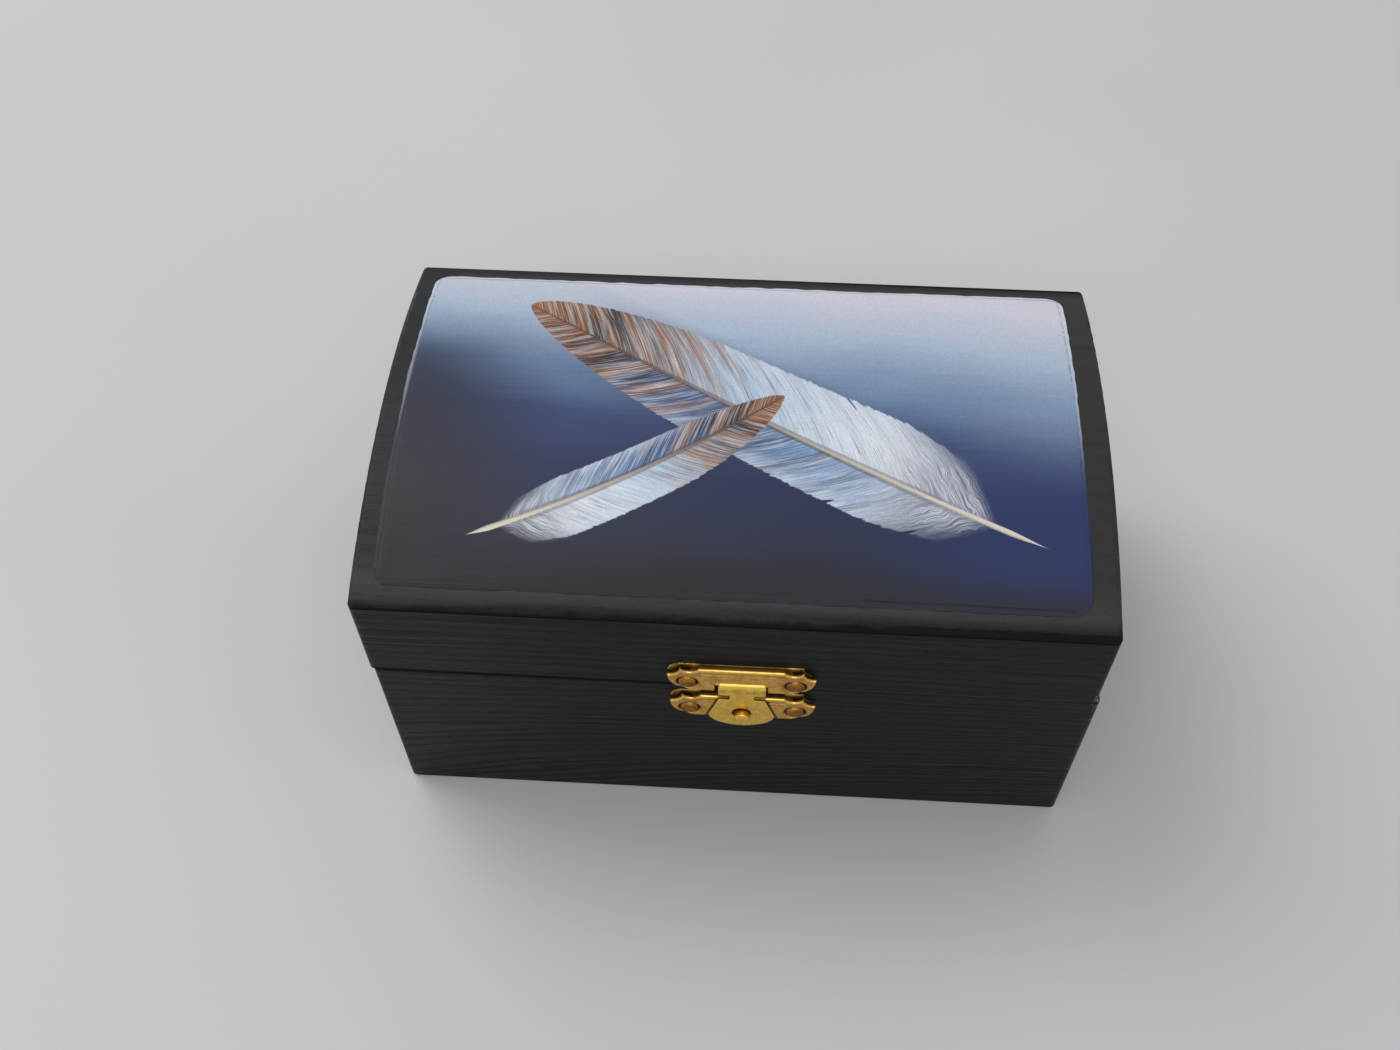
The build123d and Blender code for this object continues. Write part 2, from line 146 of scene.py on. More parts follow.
class Paint:
    """Builds one node material: its coordinates, textures, colours and shader."""

    def __init__(self, name):
        self.material = bpy.data.materials.new(name)
        self.material.use_nodes = True
        self.tree = self.material.node_tree
        self.tree.nodes.clear()
        coordinates = add_node(self.tree, "ShaderNodeTexCoord")
        split = add_node(self.tree, "ShaderNodeSeparateXYZ", Vector=coordinates.outputs["Object"])
        self.x, self.y, self.z = (Field(self.tree, part) * TO_MM for part in split.outputs)

    def noise(self, size, detail=2.0, roughness=0.5, distortion=0.0, at=None, seed=0.0):
        """Smooth noise from 0 to 1; size is its grain in millimetres along the three axes of at."""
        x, y, z = (part / grain + seed for part, grain in zip(at or (self.x, self.y, self.z), size))
        place = add_node(self.tree, "ShaderNodeCombineXYZ", X=x, Y=y, Z=z).outputs[0]
        grains = {"Detail": detail, "Roughness": roughness, "Distortion": distortion}
        node = add_node(self.tree, "ShaderNodeTexNoise", Vector=place, Scale=1.0, **grains)
        return Field(self.tree, node.outputs["Fac"])

    def attribute(self, name):
        """A number stored at the mesh's points; 0 on meshes without it."""
        node = add_node(self.tree, "ShaderNodeAttribute")
        node.attribute_name = name
        return Field(self.tree, node.outputs["Fac"])

    def mix(self, factor, first, second):
        """A colour between two colours, each a triple or a socket."""
        node = add_node(self.tree, "ShaderNodeMix")
        node.data_type = "RGBA"
        plug(factor, node.inputs["Factor"], self.tree)
        for slot, value in (("A", first), ("B", second)):
            socket = next(s for s in node.inputs if s.name == slot and s.type == "RGBA")
            plug(value if isinstance(value, bpy.types.NodeSocket) else (*value, 1.0), socket, self.tree)
        return next(s for s in node.outputs if s.type == "RGBA")

    def layers(self, colour, *coats):
        """Lays coats of (cover, colour) over a colour, one after the other."""
        for cover, coat in coats:
            colour = self.mix(cover, colour, coat)
        return colour

    def ramp(self, field, stops):
        """A colour that runs through (position, colour) stops as field goes from 0 to 1."""
        node = add_node(self.tree, "ShaderNodeValToRGB", Fac=field)
        while len(node.color_ramp.elements) < len(stops):
            node.color_ramp.elements.new(0.5)
        for element, (position, colour) in zip(node.color_ramp.elements, stops):
            element.position = position
            element.color = (*colour, 1.0)
        return node.outputs["Color"]

    def finish(self, colour, roughness, height, **constants):
        """Adds the shader, with a bump height in millimetres and its own constants."""
        bump = add_node(self.tree, "ShaderNodeBump", Distance=MM, Height=height)
        inputs = {"Base_Color": colour, "Roughness": roughness, "Normal": bump.outputs["Normal"]}
        shader = add_node(self.tree, "ShaderNodeBsdfPrincipled", **inputs, **constants)
        add_node(self.tree, "ShaderNodeOutputMaterial", Surface=shader.outputs["BSDF"])
        return self.material


# Materials. The two numbers in rise are where a pattern starts and where it is full, and a number
# that multiplies a pattern is how strongly it shows. Lengths are in millimetres, colours are linear.

PALE_WOOD, MIDDLE_WOOD, DEEP_WOOD = (0.62, 0.42, 0.245), (0.50, 0.31, 0.165), (0.47, 0.28, 0.14)
WOOD_PORE, WOOD_STAIN = (0.26, 0.14, 0.07), (0.30, 0.19, 0.11)

# The old paint, in the grain's hollows and on its ridges. The crown's and its borders' pairs are paler
# than the sides': a painted sheen where the top faces the light.
SIDE_PAINT = (0.0004, 0.0009, 0.0009), (0.0098, 0.0118, 0.0112)
CROWN_SHEEN_PAINT = (0.0370, 0.0338, 0.0345), (0.0500, 0.0458, 0.0465)
BORDER_SHEEN_PAINT = (0.0125, 0.0140, 0.0145), (0.0195, 0.0215, 0.0220)
CLOUDED, IN_PORES = (0.0120, 0.0112, 0.0108), (0.0012, 0.0015, 0.0015)
# Rubbed edges also carry a painted highlight; the dark of the joints also serves as painted shade in the
# seam and the glue line.
RUBBED_AND_HIGHLIT, CHIPPED, JOINT_GRIME_AND_SHADE = (0.046, 0.044, 0.041), (0.30, 0.28, 0.24), (0.0014, 0.0015, 0.0015)

RING_PITCH = 2.8
RING_CLIMB = 0.46  # how steeply the rings fan out below the seam
RING_BEND = 0.0036


def bare_wood(paint, at):
    """Colour and height of the unpainted pale wood inside the box; at is (along, across, across)."""
    rings = paint.noise((46.0, 2.6, 2.6), detail=3.0, roughness=0.55, distortion=0.6, at=at, seed=3.0)
    pores = paint.noise((5.0, 0.28, 0.28), detail=1.0, at=at, seed=11.0).rise(0.6, 0.72)
    stain = paint.noise((30.0, 22.0, 22.0), detail=3.0, roughness=0.6, at=at, seed=5.0)
    colour = paint.layers(
        paint.ramp(rings, [(0.3, MIDDLE_WOOD), (0.5, PALE_WOOD), (0.66, DEEP_WOOD)]),
        (pores * 0.5, WOOD_PORE),
        (stain.rise(0.5, 0.8) * 0.35, WOOD_STAIN),
    )
    return colour, rings * 0.05 - pores * 0.04


def painted_wood(name, along):
    """Black-green satin paint over open grain outside, and bare wood inside.

    along is the axis that the grain follows.
    """
    paint = Paint(name)
    x, y, z = paint.x, paint.y, paint.z
    at = (x, y, z) if along == "x" else (y, x, z)
    length, across, up = at

    # Growth rings, raised under the paint: long ridges that wander a little and fan out towards the
    # lower left of each board.
    wander = paint.noise((85.0, 30.0, 11.0), detail=3.0, at=at, seed=2.0)
    run = (length + HALF_WIDTH) / (2.0 * HALF_WIDTH)
    fan = run * (1.5 - run * 0.5)
    below = (SEAM_Z - up).high(0.0)
    level = up - (below * fan * RING_CLIMB - below * below * (1.0 - fan) * RING_BEND)
    leaned = (length, across, level)
    spacing = paint.noise((150.0, 40.0, 3.6), detail=1.0, at=leaned, seed=26.0)
    ring_phase = (level + across * 0.55 + wander * 6.0 + spacing * 3.4) * (FULL_TURN / RING_PITCH)
    rings = ring_phase.math("SINE") * 0.5 + 0.5
    fine_rings = (ring_phase * 2.37 + wander * 9.0).math("SINE") * 0.5 + 0.5
    fibre = paint.noise((22.0, 0.42, 0.42), detail=3.0, roughness=0.6, distortion=0.25, at=at, seed=9.0)
    pores = paint.noise((6.0, 0.24, 0.24), detail=1.0, at=at, seed=4.0).rise(0.62, 0.76)
    cloud = paint.noise((30.0, 20.0, 20.0), detail=4.0, roughness=0.6, seed=1.0)
    patch = paint.noise((24.0, 12.0, 5.0), at=at, seed=14.0)
    left_end = x.rise(-25.0, -62.0)
    broken = paint.noise((15.0, 1.3, 1.3), roughness=0.6, at=at, seed=17.0).rise(0.36, 0.62) * 0.8 + 0.5
    crown = z.rise(FRAME_TOP + 1.0, FRAME_TOP + 2.4)
    bands = paint.noise((120.0, 30.0, 6.5), detail=1.0, at=leaned, seed=29.0).rise(0.36, 0.62)
    strength = patch.rise(0.38, 0.62) * 0.4 + left_end * 0.35 + up.rise(46.0, 22.0) * 0.35 + 0.35
    strength = strength * broken * (bands * 0.7 + 0.55) * (1.0 - crown * 0.6)
    ridge = rings * 0.62 + fine_rings * 0.2 + fibre * 0.3
    speck = paint.noise((0.8, 0.35, 0.35), roughness=0.6, at=at, seed=21.0) - 0.5
    contrast = (ridge - 0.55) * strength * 1.7 + speck * 1.3 + left_end * 0.25 + 0.38
    contrast = contrast.high(0.0).low(1.0)

    # The crown is painted paler than the sides, a painted sheen where it faces the light, but less so on
    # its borders beside the print.
    border = x.rise(-66.0, -70.0).high(x.rise(67.0, 70.0) * 0.5) * y.rise(-44.0, -34.0)
    crown_sheen_coat = paint.mix(contrast, *CROWN_SHEEN_PAINT)
    border_sheen_coat = paint.mix(contrast, *BORDER_SHEEN_PAINT)
    coat = paint.layers(
        paint.mix(contrast, *SIDE_PAINT),
        (cloud.rise(0.45, 0.75) * 0.25, CLOUDED),
        (pores * 0.45, IN_PORES),
        (crown * 0.85, paint.mix(border, crown_sheen_coat, border_sheen_coat)),
    )

    # Edges: where two of the outer faces meet, the paint is thin and rubbed, with a painted highlight on
    # them and on the bands just above and below the seam.
    from_middle = (x - LID_SHIFT / 2).abs()
    to_end = HALF_WIDTH - from_middle
    to_face = HALF_DEPTH - y.abs()
    corner = to_end.high(to_face)
    nearest = to_end.low(to_face)
    rim = (z - SEAM_Z).abs()
    foot = z.high(nearest)
    rub_highlight_noise = paint.noise((3.5, 3.5, 2.2), detail=3.0, roughness=0.65, seed=6.0)
    rub_and_highlight = corner.rise(1.5, 0.2).high(foot.rise(1.1, 0.2) * 0.7)
    rub_and_highlight = rub_and_highlight.high(rim.rise(1.1, 0.6) * rim.rise(0.25, 0.5) * 0.45)

    # Small pale chips on the front right corner beside the seam.
    chip_noise = paint.noise((0.75, 0.75, 0.36), roughness=0.6, seed=8.0).rise(0.575, 0.615)
    beside_seam = corner.rise(1.7, 1.0) * (z - SEAM_Z - 2.4).abs().rise(4.6, 2.6)
    chips = chip_noise * beside_seam * x.rise(60.0, 61.0) * y.rise(-40.0, -41.0)

    # Painted shade darkens the seam, most where it is open on the left, and the glue line under the
    # crown, with a soft painted shadow just above it.
    ragged = paint.noise((5.0, 5.0, 2.0), detail=3.0, roughness=0.6, seed=15.0)
    seam_reach = x.rise(0.0, -66.0) * 0.20 + 0.48
    open_seam = x.rise(26.0, 4.0) * 0.92 + 0.08
    seam = (rim - seam_reach).rise(0.14, -0.10) * nearest.rise(2.0, 0.8) * open_seam
    above = z - FRAME_TOP
    crease_top = ragged * 0.9 + x.rise(-60.0, 70.0) * 0.5 + 0.35
    crease = (above + 0.1).rise(-0.35, 0.0) * (above - crease_top).rise(0.45, -0.15)
    crease = crease * nearest.rise(1.4, 0.7)

    # The bare wood inside ends where the paint laps over the rims.
    inner_x = HALF_WIDTH - WALL
    inner_y = HALF_DEPTH - WALL
    lap = 1.4 + paint.noise((9.0, 9.0, 1.5), detail=3.0, roughness=0.6, seed=12.0) * 2.2
    inside = from_middle.rise(inner_x + 0.6, inner_x + 0.4) * y.abs().rise(inner_y + 0.2, inner_y + 0.1)
    bare = inside * (rim - lap).rise(-0.1, 0.15)
    bare = bare * z.rise(FRAME_TOP + 0.2, FRAME_TOP + 0.1) * z.rise(2.9, 3.0)
    wood_colour, wood_height = bare_wood(paint, at)

    # The glued joints of the end boards show as faint lines on the sides.
    joint = (y.abs() - (HALF_DEPTH - CORNER_LIP)).abs().rise(0.22, 0.0) * to_end.rise(0.6, 0.3)
    joint = joint * z.rise(FRAME_TOP + 0.1, FRAME_TOP)

    height = (ridge - 0.5) * strength * 0.10 + fibre * 0.03 - pores * 0.03 + cloud * 0.05
    height = height - joint * 0.08 - chips * 0.08 - crease * 0.4
    height = height * (1.0 - bare) + wood_height * bare
    roughness = 0.42 + cloud * 0.12 + pores * 0.12 - rub_and_highlight * 0.05
    roughness = roughness + crease * 0.35 + seam * 0.4 + bare * 0.2
    colour = paint.layers(
        coat,
        (rub_and_highlight * rub_highlight_noise.rise(0.4, 0.66) * 0.5, RUBBED_AND_HIGHLIT),
        (chips * 0.8, CHIPPED),
        (joint * 0.5, JOINT_GRIME_AND_SHADE),
        (seam.high(crease * 0.9), JOINT_GRIME_AND_SHADE),
        (bare, wood_colour),
    )
    return paint.finish(colour, roughness, height, Specular_IOR_Level=0.16)


# The two feathers of the print: stops of (share of the length, colour) for each side of the vane
SLATE_SIDE = [
    (0.08, (0.50, 0.53, 0.58)),
    (0.28, (0.30, 0.40, 0.53)),
    (0.46, (0.105, 0.18, 0.32)),
    (0.64, (0.050, 0.080, 0.175)),
    (0.80, (0.030, 0.020, 0.018)),
    (0.97, (0.19, 0.065, 0.018)),
]
SILVER_SIDE = [
    (0.08, (0.66, 0.62, 0.62)),
    (0.30, (0.62, 0.65, 0.69)),
    (0.55, (0.37, 0.47, 0.58)),
    (0.72, (0.20, 0.16, 0.15)),
    (0.84, (0.045, 0.028, 0.020)),
    (0.97, (0.26, 0.095, 0.025)),
]
PALE_BRIM, RUST, INK = (0.50, 0.56, 0.64), (0.27, 0.115, 0.042), (0.045, 0.065, 0.13)
PALE_LOCK, PALE_BARB, DARK_BARB = (0.62, 0.66, 0.71), (0.66, 0.69, 0.73), (0.018, 0.022, 0.042)
DOWN_GREY, BESIDE_QUILL = (0.58, 0.60, 0.64), (0.030, 0.028, 0.036)
QUILL_FOOT, QUILL_TIP, QUILL_SHADE = (0.60, 0.55, 0.45), (0.10, 0.045, 0.022), (0.16, 0.11, 0.075)
BAR_PITCH = 9.0


def feather(paint, u, v, length, half_width, seed):
    """A painted feather in its own frame: u along the quill from 0 at its foot, v to one side.

    Gives (cover, colour), where cover is 0 off the feather and 1 on it.
    """
    run = u / length
    side = v.abs()
    upper = v.rise(-0.01, 0.01)
    # A barb leaves the quill at a slant and bends towards the tip.
    barb = u - side * 0.85 - side * side * 0.022
    ragged_at, barb_at = (barb, upper * 9.0, 0.0), (barb, side, 0.0)
    ragged = paint.noise((1.5, 1.0, 1.0), detail=3.0, roughness=0.65, at=ragged_at, seed=seed)
    splits = paint.noise((5.5, 1.0, 1.0), detail=1.0, at=(barb, upper * 5.0, 0.0), seed=seed + 2.0)
    lines = paint.noise((0.27, 7.0, 7.0), roughness=0.55, distortion=0.15, at=barb_at, seed=seed + 4.0)
    locks = paint.noise((1.7, 12.0, 9.0), at=barb_at, seed=seed + 5.0)
    foot = run.rise(0.05, 0.30)
    past = ((run - 0.58) / 0.42).high(0.0)
    tip = (1.0 - past * past).high(0.0)
    vane = (foot * 0.4 + 0.6) * (1.0 - upper * 0.26) * half_width
    reach = vane * tip ** 0.62 * run.rise(0.06, 0.16) ** 0.5
    reach = reach * (0.90 + ragged * 0.17) - splits.rise(0.66, 0.72) * side * 0.5
    down = run.rise(0.34, 0.13)
    # The vane has a crisp edge; the down at its foot is soft, thin and curly.
    curl = paint.noise((4.5, 4.5, 4.5), at=(u, v, 0.0), seed=seed + 10.0) * 4.0
    fluff = paint.noise((0.34, 5.0, 5.0), distortion=0.3, at=(barb + curl, side, 0.0), seed=seed + 6.0)
    soft = (reach * 1.1 - side).rise(0.0, 0.4 + half_width * 0.35)
    down_cover = soft * (0.22 + fluff.rise(0.36, 0.66) * 0.62)
    cover = (reach - side).rise(-0.05, 0.30)
    cover = cover * (1.0 - down) + down_cover * down

    wave = barb + paint.noise((9.0, 5.0, 5.0), at=(u, v, 0.0), seed=seed + 8.0) * 6.0
    bars = (wave * (FULL_TURN / BAR_PITCH)).math("SINE").rise(-0.1, 0.7)
    rust_bars = bars * run.rise(0.50, 0.70) * 0.62
    faint_bars = bars * run.rise(0.16, 0.34) * run.rise(0.68, 0.5) * (upper * 0.35 + 0.12)
    brim = (side / reach.high(0.3)).rise(0.55, 1.0) * run.rise(0.82, 0.5)
    body = paint.layers(
        paint.mix(upper, paint.ramp(run, SILVER_SIDE), paint.ramp(run, SLATE_SIDE)),
        (brim * 0.6, PALE_BRIM),
        (rust_bars, RUST),
        (faint_bars, INK),
        (locks.rise(0.50, 0.68) * 0.35, PALE_LOCK),
        (lines.rise(0.50, 0.66) * 0.42, PALE_BARB),
        (lines.rise(0.46, 0.32) * 0.5, DARK_BARB),
        (down * 0.75, DOWN_GREY),
    )

    quill = (0.62 - run * 0.55).high(0.10) * run.rise(-0.03, 0.05)
    shaft = (side - quill).rise(0.10, -0.10) * run.rise(-0.03, -0.01) * run.rise(1.0, 0.95)
    hollow = (side - quill * 2.3).rise(0.2, -0.2) * cover * run.rise(0.05, 0.2) * 0.5
    shaft_colour = paint.mix(run.rise(0.0, 0.9), QUILL_FOOT, QUILL_TIP)
    shaft_colour = paint.mix((v / quill).rise(0.1, 0.9) * 0.55, shaft_colour, QUILL_SHADE)
    return cover.high(shaft), paint.layers(body, (hollow, BESIDE_QUILL), (shaft, shaft_colour))


def curved(paint, foot, heading, bend):
    """Coordinates (u, v) along and beside a gently bent quill that starts at foot, in degrees."""
    turn = math.radians(heading)
    dx = paint.x - foot[0]
    dy = paint.y - foot[1]
    u = dx * math.cos(turn) + dy * math.sin(turn)
    v = dy * math.cos(turn) - dx * math.sin(turn)
    return u, v - (u * u) * bend


# The print's ground: stops of (share of the depth from the front, colour)
GROUND = [
    (0.02, (0.0200, 0.0200, 0.0250)),
    (0.14, (0.0190, 0.0225, 0.0450)),
    (0.30, (0.0165, 0.0235, 0.0700)),
    (0.46, (0.0320, 0.0530, 0.1350)),
    (0.60, (0.120, 0.185, 0.300)),
    (0.78, (0.330, 0.405, 0.505)),
    (0.97, (0.530, 0.525, 0.580)),
]
RIGHT_BLUE, RIGHT_PALE = (0.0190, 0.0350, 0.1280), (0.330, 0.400, 0.500)
LEFT_NAVY, DARK_EDGE = (0.0138, 0.0152, 0.0300), (0.0168, 0.0152, 0.0172)
FEATHER_SHADOW, RULED, PALE_MARGIN = (0.02, 0.022, 0.04), (0.02, 0.02, 0.03), (0.56, 0.55, 0.60)
# The fold's colour is painted shade in its crease.
FOLD_SHADE, DUSTY, CUT_EDGE = (0.006, 0.007, 0.014), (0.012, 0.016, 0.030), (0.012, 0.012, 0.015)

# Each feather's foot, its heading in degrees, how it bends, its length, half its width and its seed
FEATHERS = [
    ((58.5, -27.5), 158.0, -0.0010, 122.0, 15.0, 2.0),
    ((-53.0, -30.5), 21.0, 0.0024, 70.0, 8.0, 31.0),
]


def print_paper(name):
    """The varnished paper print: a pale-to-navy ground with two drawn feathers."""
    paint = Paint(name)
    x, y = paint.x, paint.y
    low, high = span("lid_print")
    broad = paint.noise((60.0, 24.0, 24.0), detail=3.0, seed=3.0)
    streak = paint.noise((46.0, 1.1, 6.0), detail=3.0, roughness=0.6, distortion=0.3, seed=5.0)
    dust = paint.noise((0.5, 0.5, 0.5), roughness=0.6, seed=7.0)
    depth = (y - low[1]) / (high[1] - low[1])
    ground = depth + (broad - 0.5) * 0.16 + (streak - 0.5) * 0.045 + x / 900.0
    right_blue = x.rise(15.0, 62.0) * depth.rise(0.55, 0.2) * depth.rise(0.0, 0.12)
    right_pale = x.rise(30.0, 72.0) * depth.hump(0.58, 0.3)
    left_edge = x.rise(-34.0, -71.0) * (depth + (broad - 0.5) * 0.3).rise(0.86, 0.50)
    left_dark = x.rise(-38.0, -72.0) * depth.rise(0.85, 0.1)
    front_dark = depth.rise(0.16, 0.02) * x.rise(62.0, -5.0)
    sky = paint.layers(
        paint.ramp(ground, GROUND),
        (right_blue * 0.55, RIGHT_BLUE),
        (right_pale * 0.30, RIGHT_PALE),
        (left_edge * 0.85, LEFT_NAVY),
        (left_dark.high(front_dark) * 0.85, DARK_EDGE),
    )

    for foot, heading, bend, length, half_width, seed in FEATHERS:
        u, v = curved(paint, foot, heading, bend)
        shade_u, shade_v = u - 0.6, v + 1.3
        shadow = (half_width * 0.9 - shade_v.abs()).rise(-2.5, 2.5) * (shade_u / length).hump(0.56, 0.5)
        sky = paint.layers(
            sky,
            (shadow * 0.30, FEATHER_SHADOW),
            feather(paint, u, v, length, half_width, seed),
        )

    # The ruled line, the pale margin, the painted shade in the lifted fold by the front right edge, and
    # the cut edge
    middle_x, middle_y, _ = centre_of("lid_print")
    edge_x = (x - middle_x).abs() - (high[0] - low[0]) / 2
    edge_y = (y - middle_y).abs() - (high[1] - low[1]) / 2
    edge = edge_x.high(edge_y)
    rule = (edge + 1.0 + (broad - 0.5) * 1.2).abs().rise(0.32, 0.08) * streak.rise(0.36, 0.6)
    margin = edge.rise(-1.1, -0.5) * depth.rise(0.35, 0.6)
    front_edge = edge_y.abs() * y.rise(0.0, -10.0)
    fold = (front_edge - 1.5 - (broad - 0.5) * 3.0).abs().rise(0.30, 0.10) * y.rise(-30.0, -36.0)
    fold_gaps = paint.noise((9.0, 9.0, 9.0), detail=1.0, seed=23.0).rise(0.40, 0.50)
    fold = fold * x.rise(8.0, 22.0) * x.rise(68.0, 65.0) * fold_gaps
    border = edge.rise(-0.45, -0.1)
    sky = paint.layers(
        sky,
        (rule * 0.38, RULED),
        (margin * 0.35, PALE_MARGIN),
        (fold * 0.75, FOLD_SHADE),
        (dust.rise(0.35, 0.65) * 0.10, DUSTY),
        (border * depth.rise(0.75, 0.45) * 0.75, CUT_EDGE),
    )

    height = streak * 0.05 + dust * 0.012 - fold * 0.10 - rule * 0.05
    roughness = 0.36 + broad * 0.1 + dust * 0.08
    return paint.finish(sky, roughness, height, Specular_IOR_Level=0.24)


def brass(name, bright, dull, rough, speck, tarnish_and_shade, polish_and_highlight):
    """Old brass with bright and dull patches, pits and fine scratches.

    rough is its roughness, speck the depth of its pits, the next colour the brown of patina in its
    hollows and of painted shade, and the last number its roughness where it is polished and where a
    highlight is painted.
    """
    paint = Paint(name)
    patches = paint.noise((2.4, 2.4, 2.4), detail=4.0, roughness=0.62, distortion=0.4, seed=1.0)
    pits = paint.noise((0.30, 0.30, 0.30), detail=3.0, roughness=0.6, seed=2.0)
    stipple = paint.noise((0.55, 0.55, 0.45), detail=1.0, seed=5.0)
    scratches = paint.noise((7.0, 0.5, 0.08), seed=3.0)
    hollow = paint.attribute("hollow")
    wear_and_highlight = paint.attribute("wear_and_highlight")
    # The dark coat is patina in the hollows and painted shade; the bright coat is polished wear and a
    # painted highlight.
    grime_and_shade = (hollow + (patches - 0.5) * 0.5 * hollow.rise(0.02, 0.2)).high(0.0).low(1.0)
    colour = paint.layers(
        paint.mix(patches.rise(0.38, 0.66), bright, dull),
        (pits.rise(0.58, 0.74) * 0.55, [part * 0.4 for part in dull]),
        (stipple.rise(0.54, 0.70) * 0.45, [part * 0.62 for part in dull]),
        (grime_and_shade, tarnish_and_shade),
        (wear_and_highlight, [min(part * 1.06 + 0.03, 1.0) for part in bright]),
    )
    plain = 1.0 - wear_and_highlight * 0.8
    height = pits * speck * plain + stipple * speck * 0.8 * plain + patches * 0.03 + scratches * 0.006
    roughness = (rough + patches * 0.12 + scratches * 0.08 + grime_and_shade * 0.2) * (1.0 - wear_and_highlight) + wear_and_highlight * polish_and_highlight
    return paint.finish(colour, roughness, height, Metallic=1.0)


FLOOR_GREYS = (0.475, 0.468, 0.474), (0.505, 0.498, 0.504)


def studio_floor(name):
    """A plain pale floor with a faint soft mottling."""
    paint = Paint(name)
    mottle = paint.noise((190.0, 190.0, 190.0), seed=4.0)
    fibre = paint.noise((1.2, 1.2, 1.2), detail=3.0, roughness=0.6, seed=6.0)
    colour = paint.mix(mottle.rise(0.2, 0.8), *FLOOR_GREYS)
    return paint.finish(colour, 0.85 + mottle * 0.05, fibre * 0.03)


# Mesh tools. Lengths are in millimetres, smoothing angles in degrees.

OUTLINE_STEP = 0.12
SHEET_GAP = 0.01  # between a thin sheet's back and the wood
PLATE_SPACING = 0.17
FLANGE_SPACING = 0.25
PRINT_SPACING = 1.1
ROW_HEIGHT = 0.866  # of a grid's triangle, as a share of its side
EDGE_CLEARANCE = 0.55  # of the grid from an outline, as a share of the spacing
PLAIN_SMOOTH, SHEET_SMOOTH, TURNED_SMOOTH = 40.0, 48.0, 50.0
ON_EDGE = 1e-6
TINY = 1e-12
HARMONICS = 5


def around(centre, radius, angles):
    """Points on a circle at angles, in radians."""
    return [tuple(centre + radius * np.array((math.cos(a), math.sin(a)))) for a in angles]


def bearing(centre, point):
    """The direction from centre to point, in radians."""
    return math.atan2(*(point - centre)[::-1])


def arc(start, end, sagitta, step=OUTLINE_STEP):
    """Points from start up to, but without, end; the arc bulges to the left of the way by sagitta."""
    start, end = np.array(start, float), np.array(end, float)
    chord = end - start
    length = np.hypot(*chord)
    if abs(sagitta) < 1e-6:
        count = max(2, int(length / step))
        return [tuple(start + chord * i / count) for i in range(count)]
    radius = length**2 / (8 * abs(sagitta)) + abs(sagitta) / 2
    left = np.array((-chord[1], chord[0])) / length * np.sign(sagitta)
    centre = (start + end) / 2 + left * (abs(sagitta) - radius)
    first = bearing(centre, start)
    turn = (bearing(centre, end) - first) % FULL_TURN
    if sagitta > 0:
        turn -= FULL_TURN
    count = max(3, int(abs(turn) * radius / step))
    return around(centre, radius, first + turn * np.arange(count) / count)


def path(start, *legs):
    """Points from start along legs of (end, sagitta), without the last leg's end."""
    points = []
    for end, sagitta in legs:
        points += arc(start, end, sagitta)
        start = end
    return points


def circle(centre, radius, step=OUTLINE_STEP):
    """A closed loop of points round a centre."""
    count = max(24, int(FULL_TURN * radius / step))
    return around(centre, radius, FULL_TURN * np.arange(count) / count)


def mirrored(half):
    """Closes a loop whose right half runs from the top's middle down to the bottom's middle."""
    return half + [(-x, z) for x, z in reversed(half) if abs(x) > 1e-9]


def soften(loop, radius, step=OUTLINE_STEP):
    """Rounds a loop's corners a little by averaging each point with its neighbours."""
    points = np.array(loop)
    for _ in range(max(1, int(radius / step))):
        points = points * 0.5 + (np.roll(points, 1, 0) + np.roll(points, -1, 0)) * 0.25
    return [tuple(p) for p in points]


def contains(loops, points):
    """Which points lie inside an outline and outside its holes, by the edges to their right."""
    x, z = points[:, 0], points[:, 1]
    inside = np.zeros(len(points), bool)
    for loop in loops:
        for (x0, z0), (x1, z1) in zip([loop[-1], *loop], loop):
            crosses = (z0 > z) != (z1 > z)
            if crosses.any():
                at = (x1 - x0) * (z - z0) / ((z1 - z0) or TINY) + x0
                inside ^= crosses & (x < at)
    return inside


def edge_distance(loops, points):
    """Each point's distance to the nearest edge of the loops."""
    best = np.full(len(points), np.inf)
    for loop in loops:
        a = np.array(loop)
        b = np.roll(a, -1, 0)
        for start, end in zip(a, b):
            along = end - start
            size = max(float(along @ along), TINY)
            t = np.clip(((points - start) @ along) / size, 0, 1)
            gap = points - start - t[:, None] * along
            best = np.minimum(best, np.einsum("ij,ij->i", gap, gap))
    return np.sqrt(best)


def flat_pattern(outline, holes, spacing):
    """Triangulates an outline with holes.

    Gives the points, the triangles, the rims' points in order, and each point's distance to a rim.
    """
    loops = [outline] + holes
    low = np.min(outline, 0)
    high = np.max(outline, 0)
    xs = np.arange(low[0], high[0], spacing)
    zs = np.arange(low[1], high[1], spacing * ROW_HEIGHT)
    grid = np.array([(x + (row % 2) * spacing / 2, z) for row, z in enumerate(zs) for x in xs])
    grid = grid[contains(loops, grid)]
    grid = grid[edge_distance(loops, grid) > spacing * EDGE_CLEARANCE]
    points = [Vector(p) for loop in (*loops, grid) for p in loop]
    edges, runs, start = [], [], 0
    for loop in loops:
        run = list(range(start, start + len(loop)))
        edges += zip(run, run[1:] + run[:1])
        runs.append(run)
        start += len(loop)
    verts, _, faces, originals, _, _ = delaunay_2d_cdt(points, edges, [], 1, 1e-5)
    verts = np.array([tuple(v) for v in verts])
    index = {}
    for new, olds in enumerate(originals):
        for old in olds:
            index[old] = new
    centres = np.array([verts[list(f)].mean(0) for f in faces])
    triangles = [tuple(f) for f, solid in zip(faces, contains(loops, centres)) if solid]
    rims = [[index[i] for i in run] for run in runs]
    return verts, triangles, rims, edge_distance(loops, verts)


def store(mesh, name, values):
    """Stores one number for each point of a mesh, for its material to read."""
    layer = mesh.attributes.new(name, "FLOAT", "POINT")
    layer.data.foreach_set("value", np.clip(values, 0, 1).astype(np.float32))


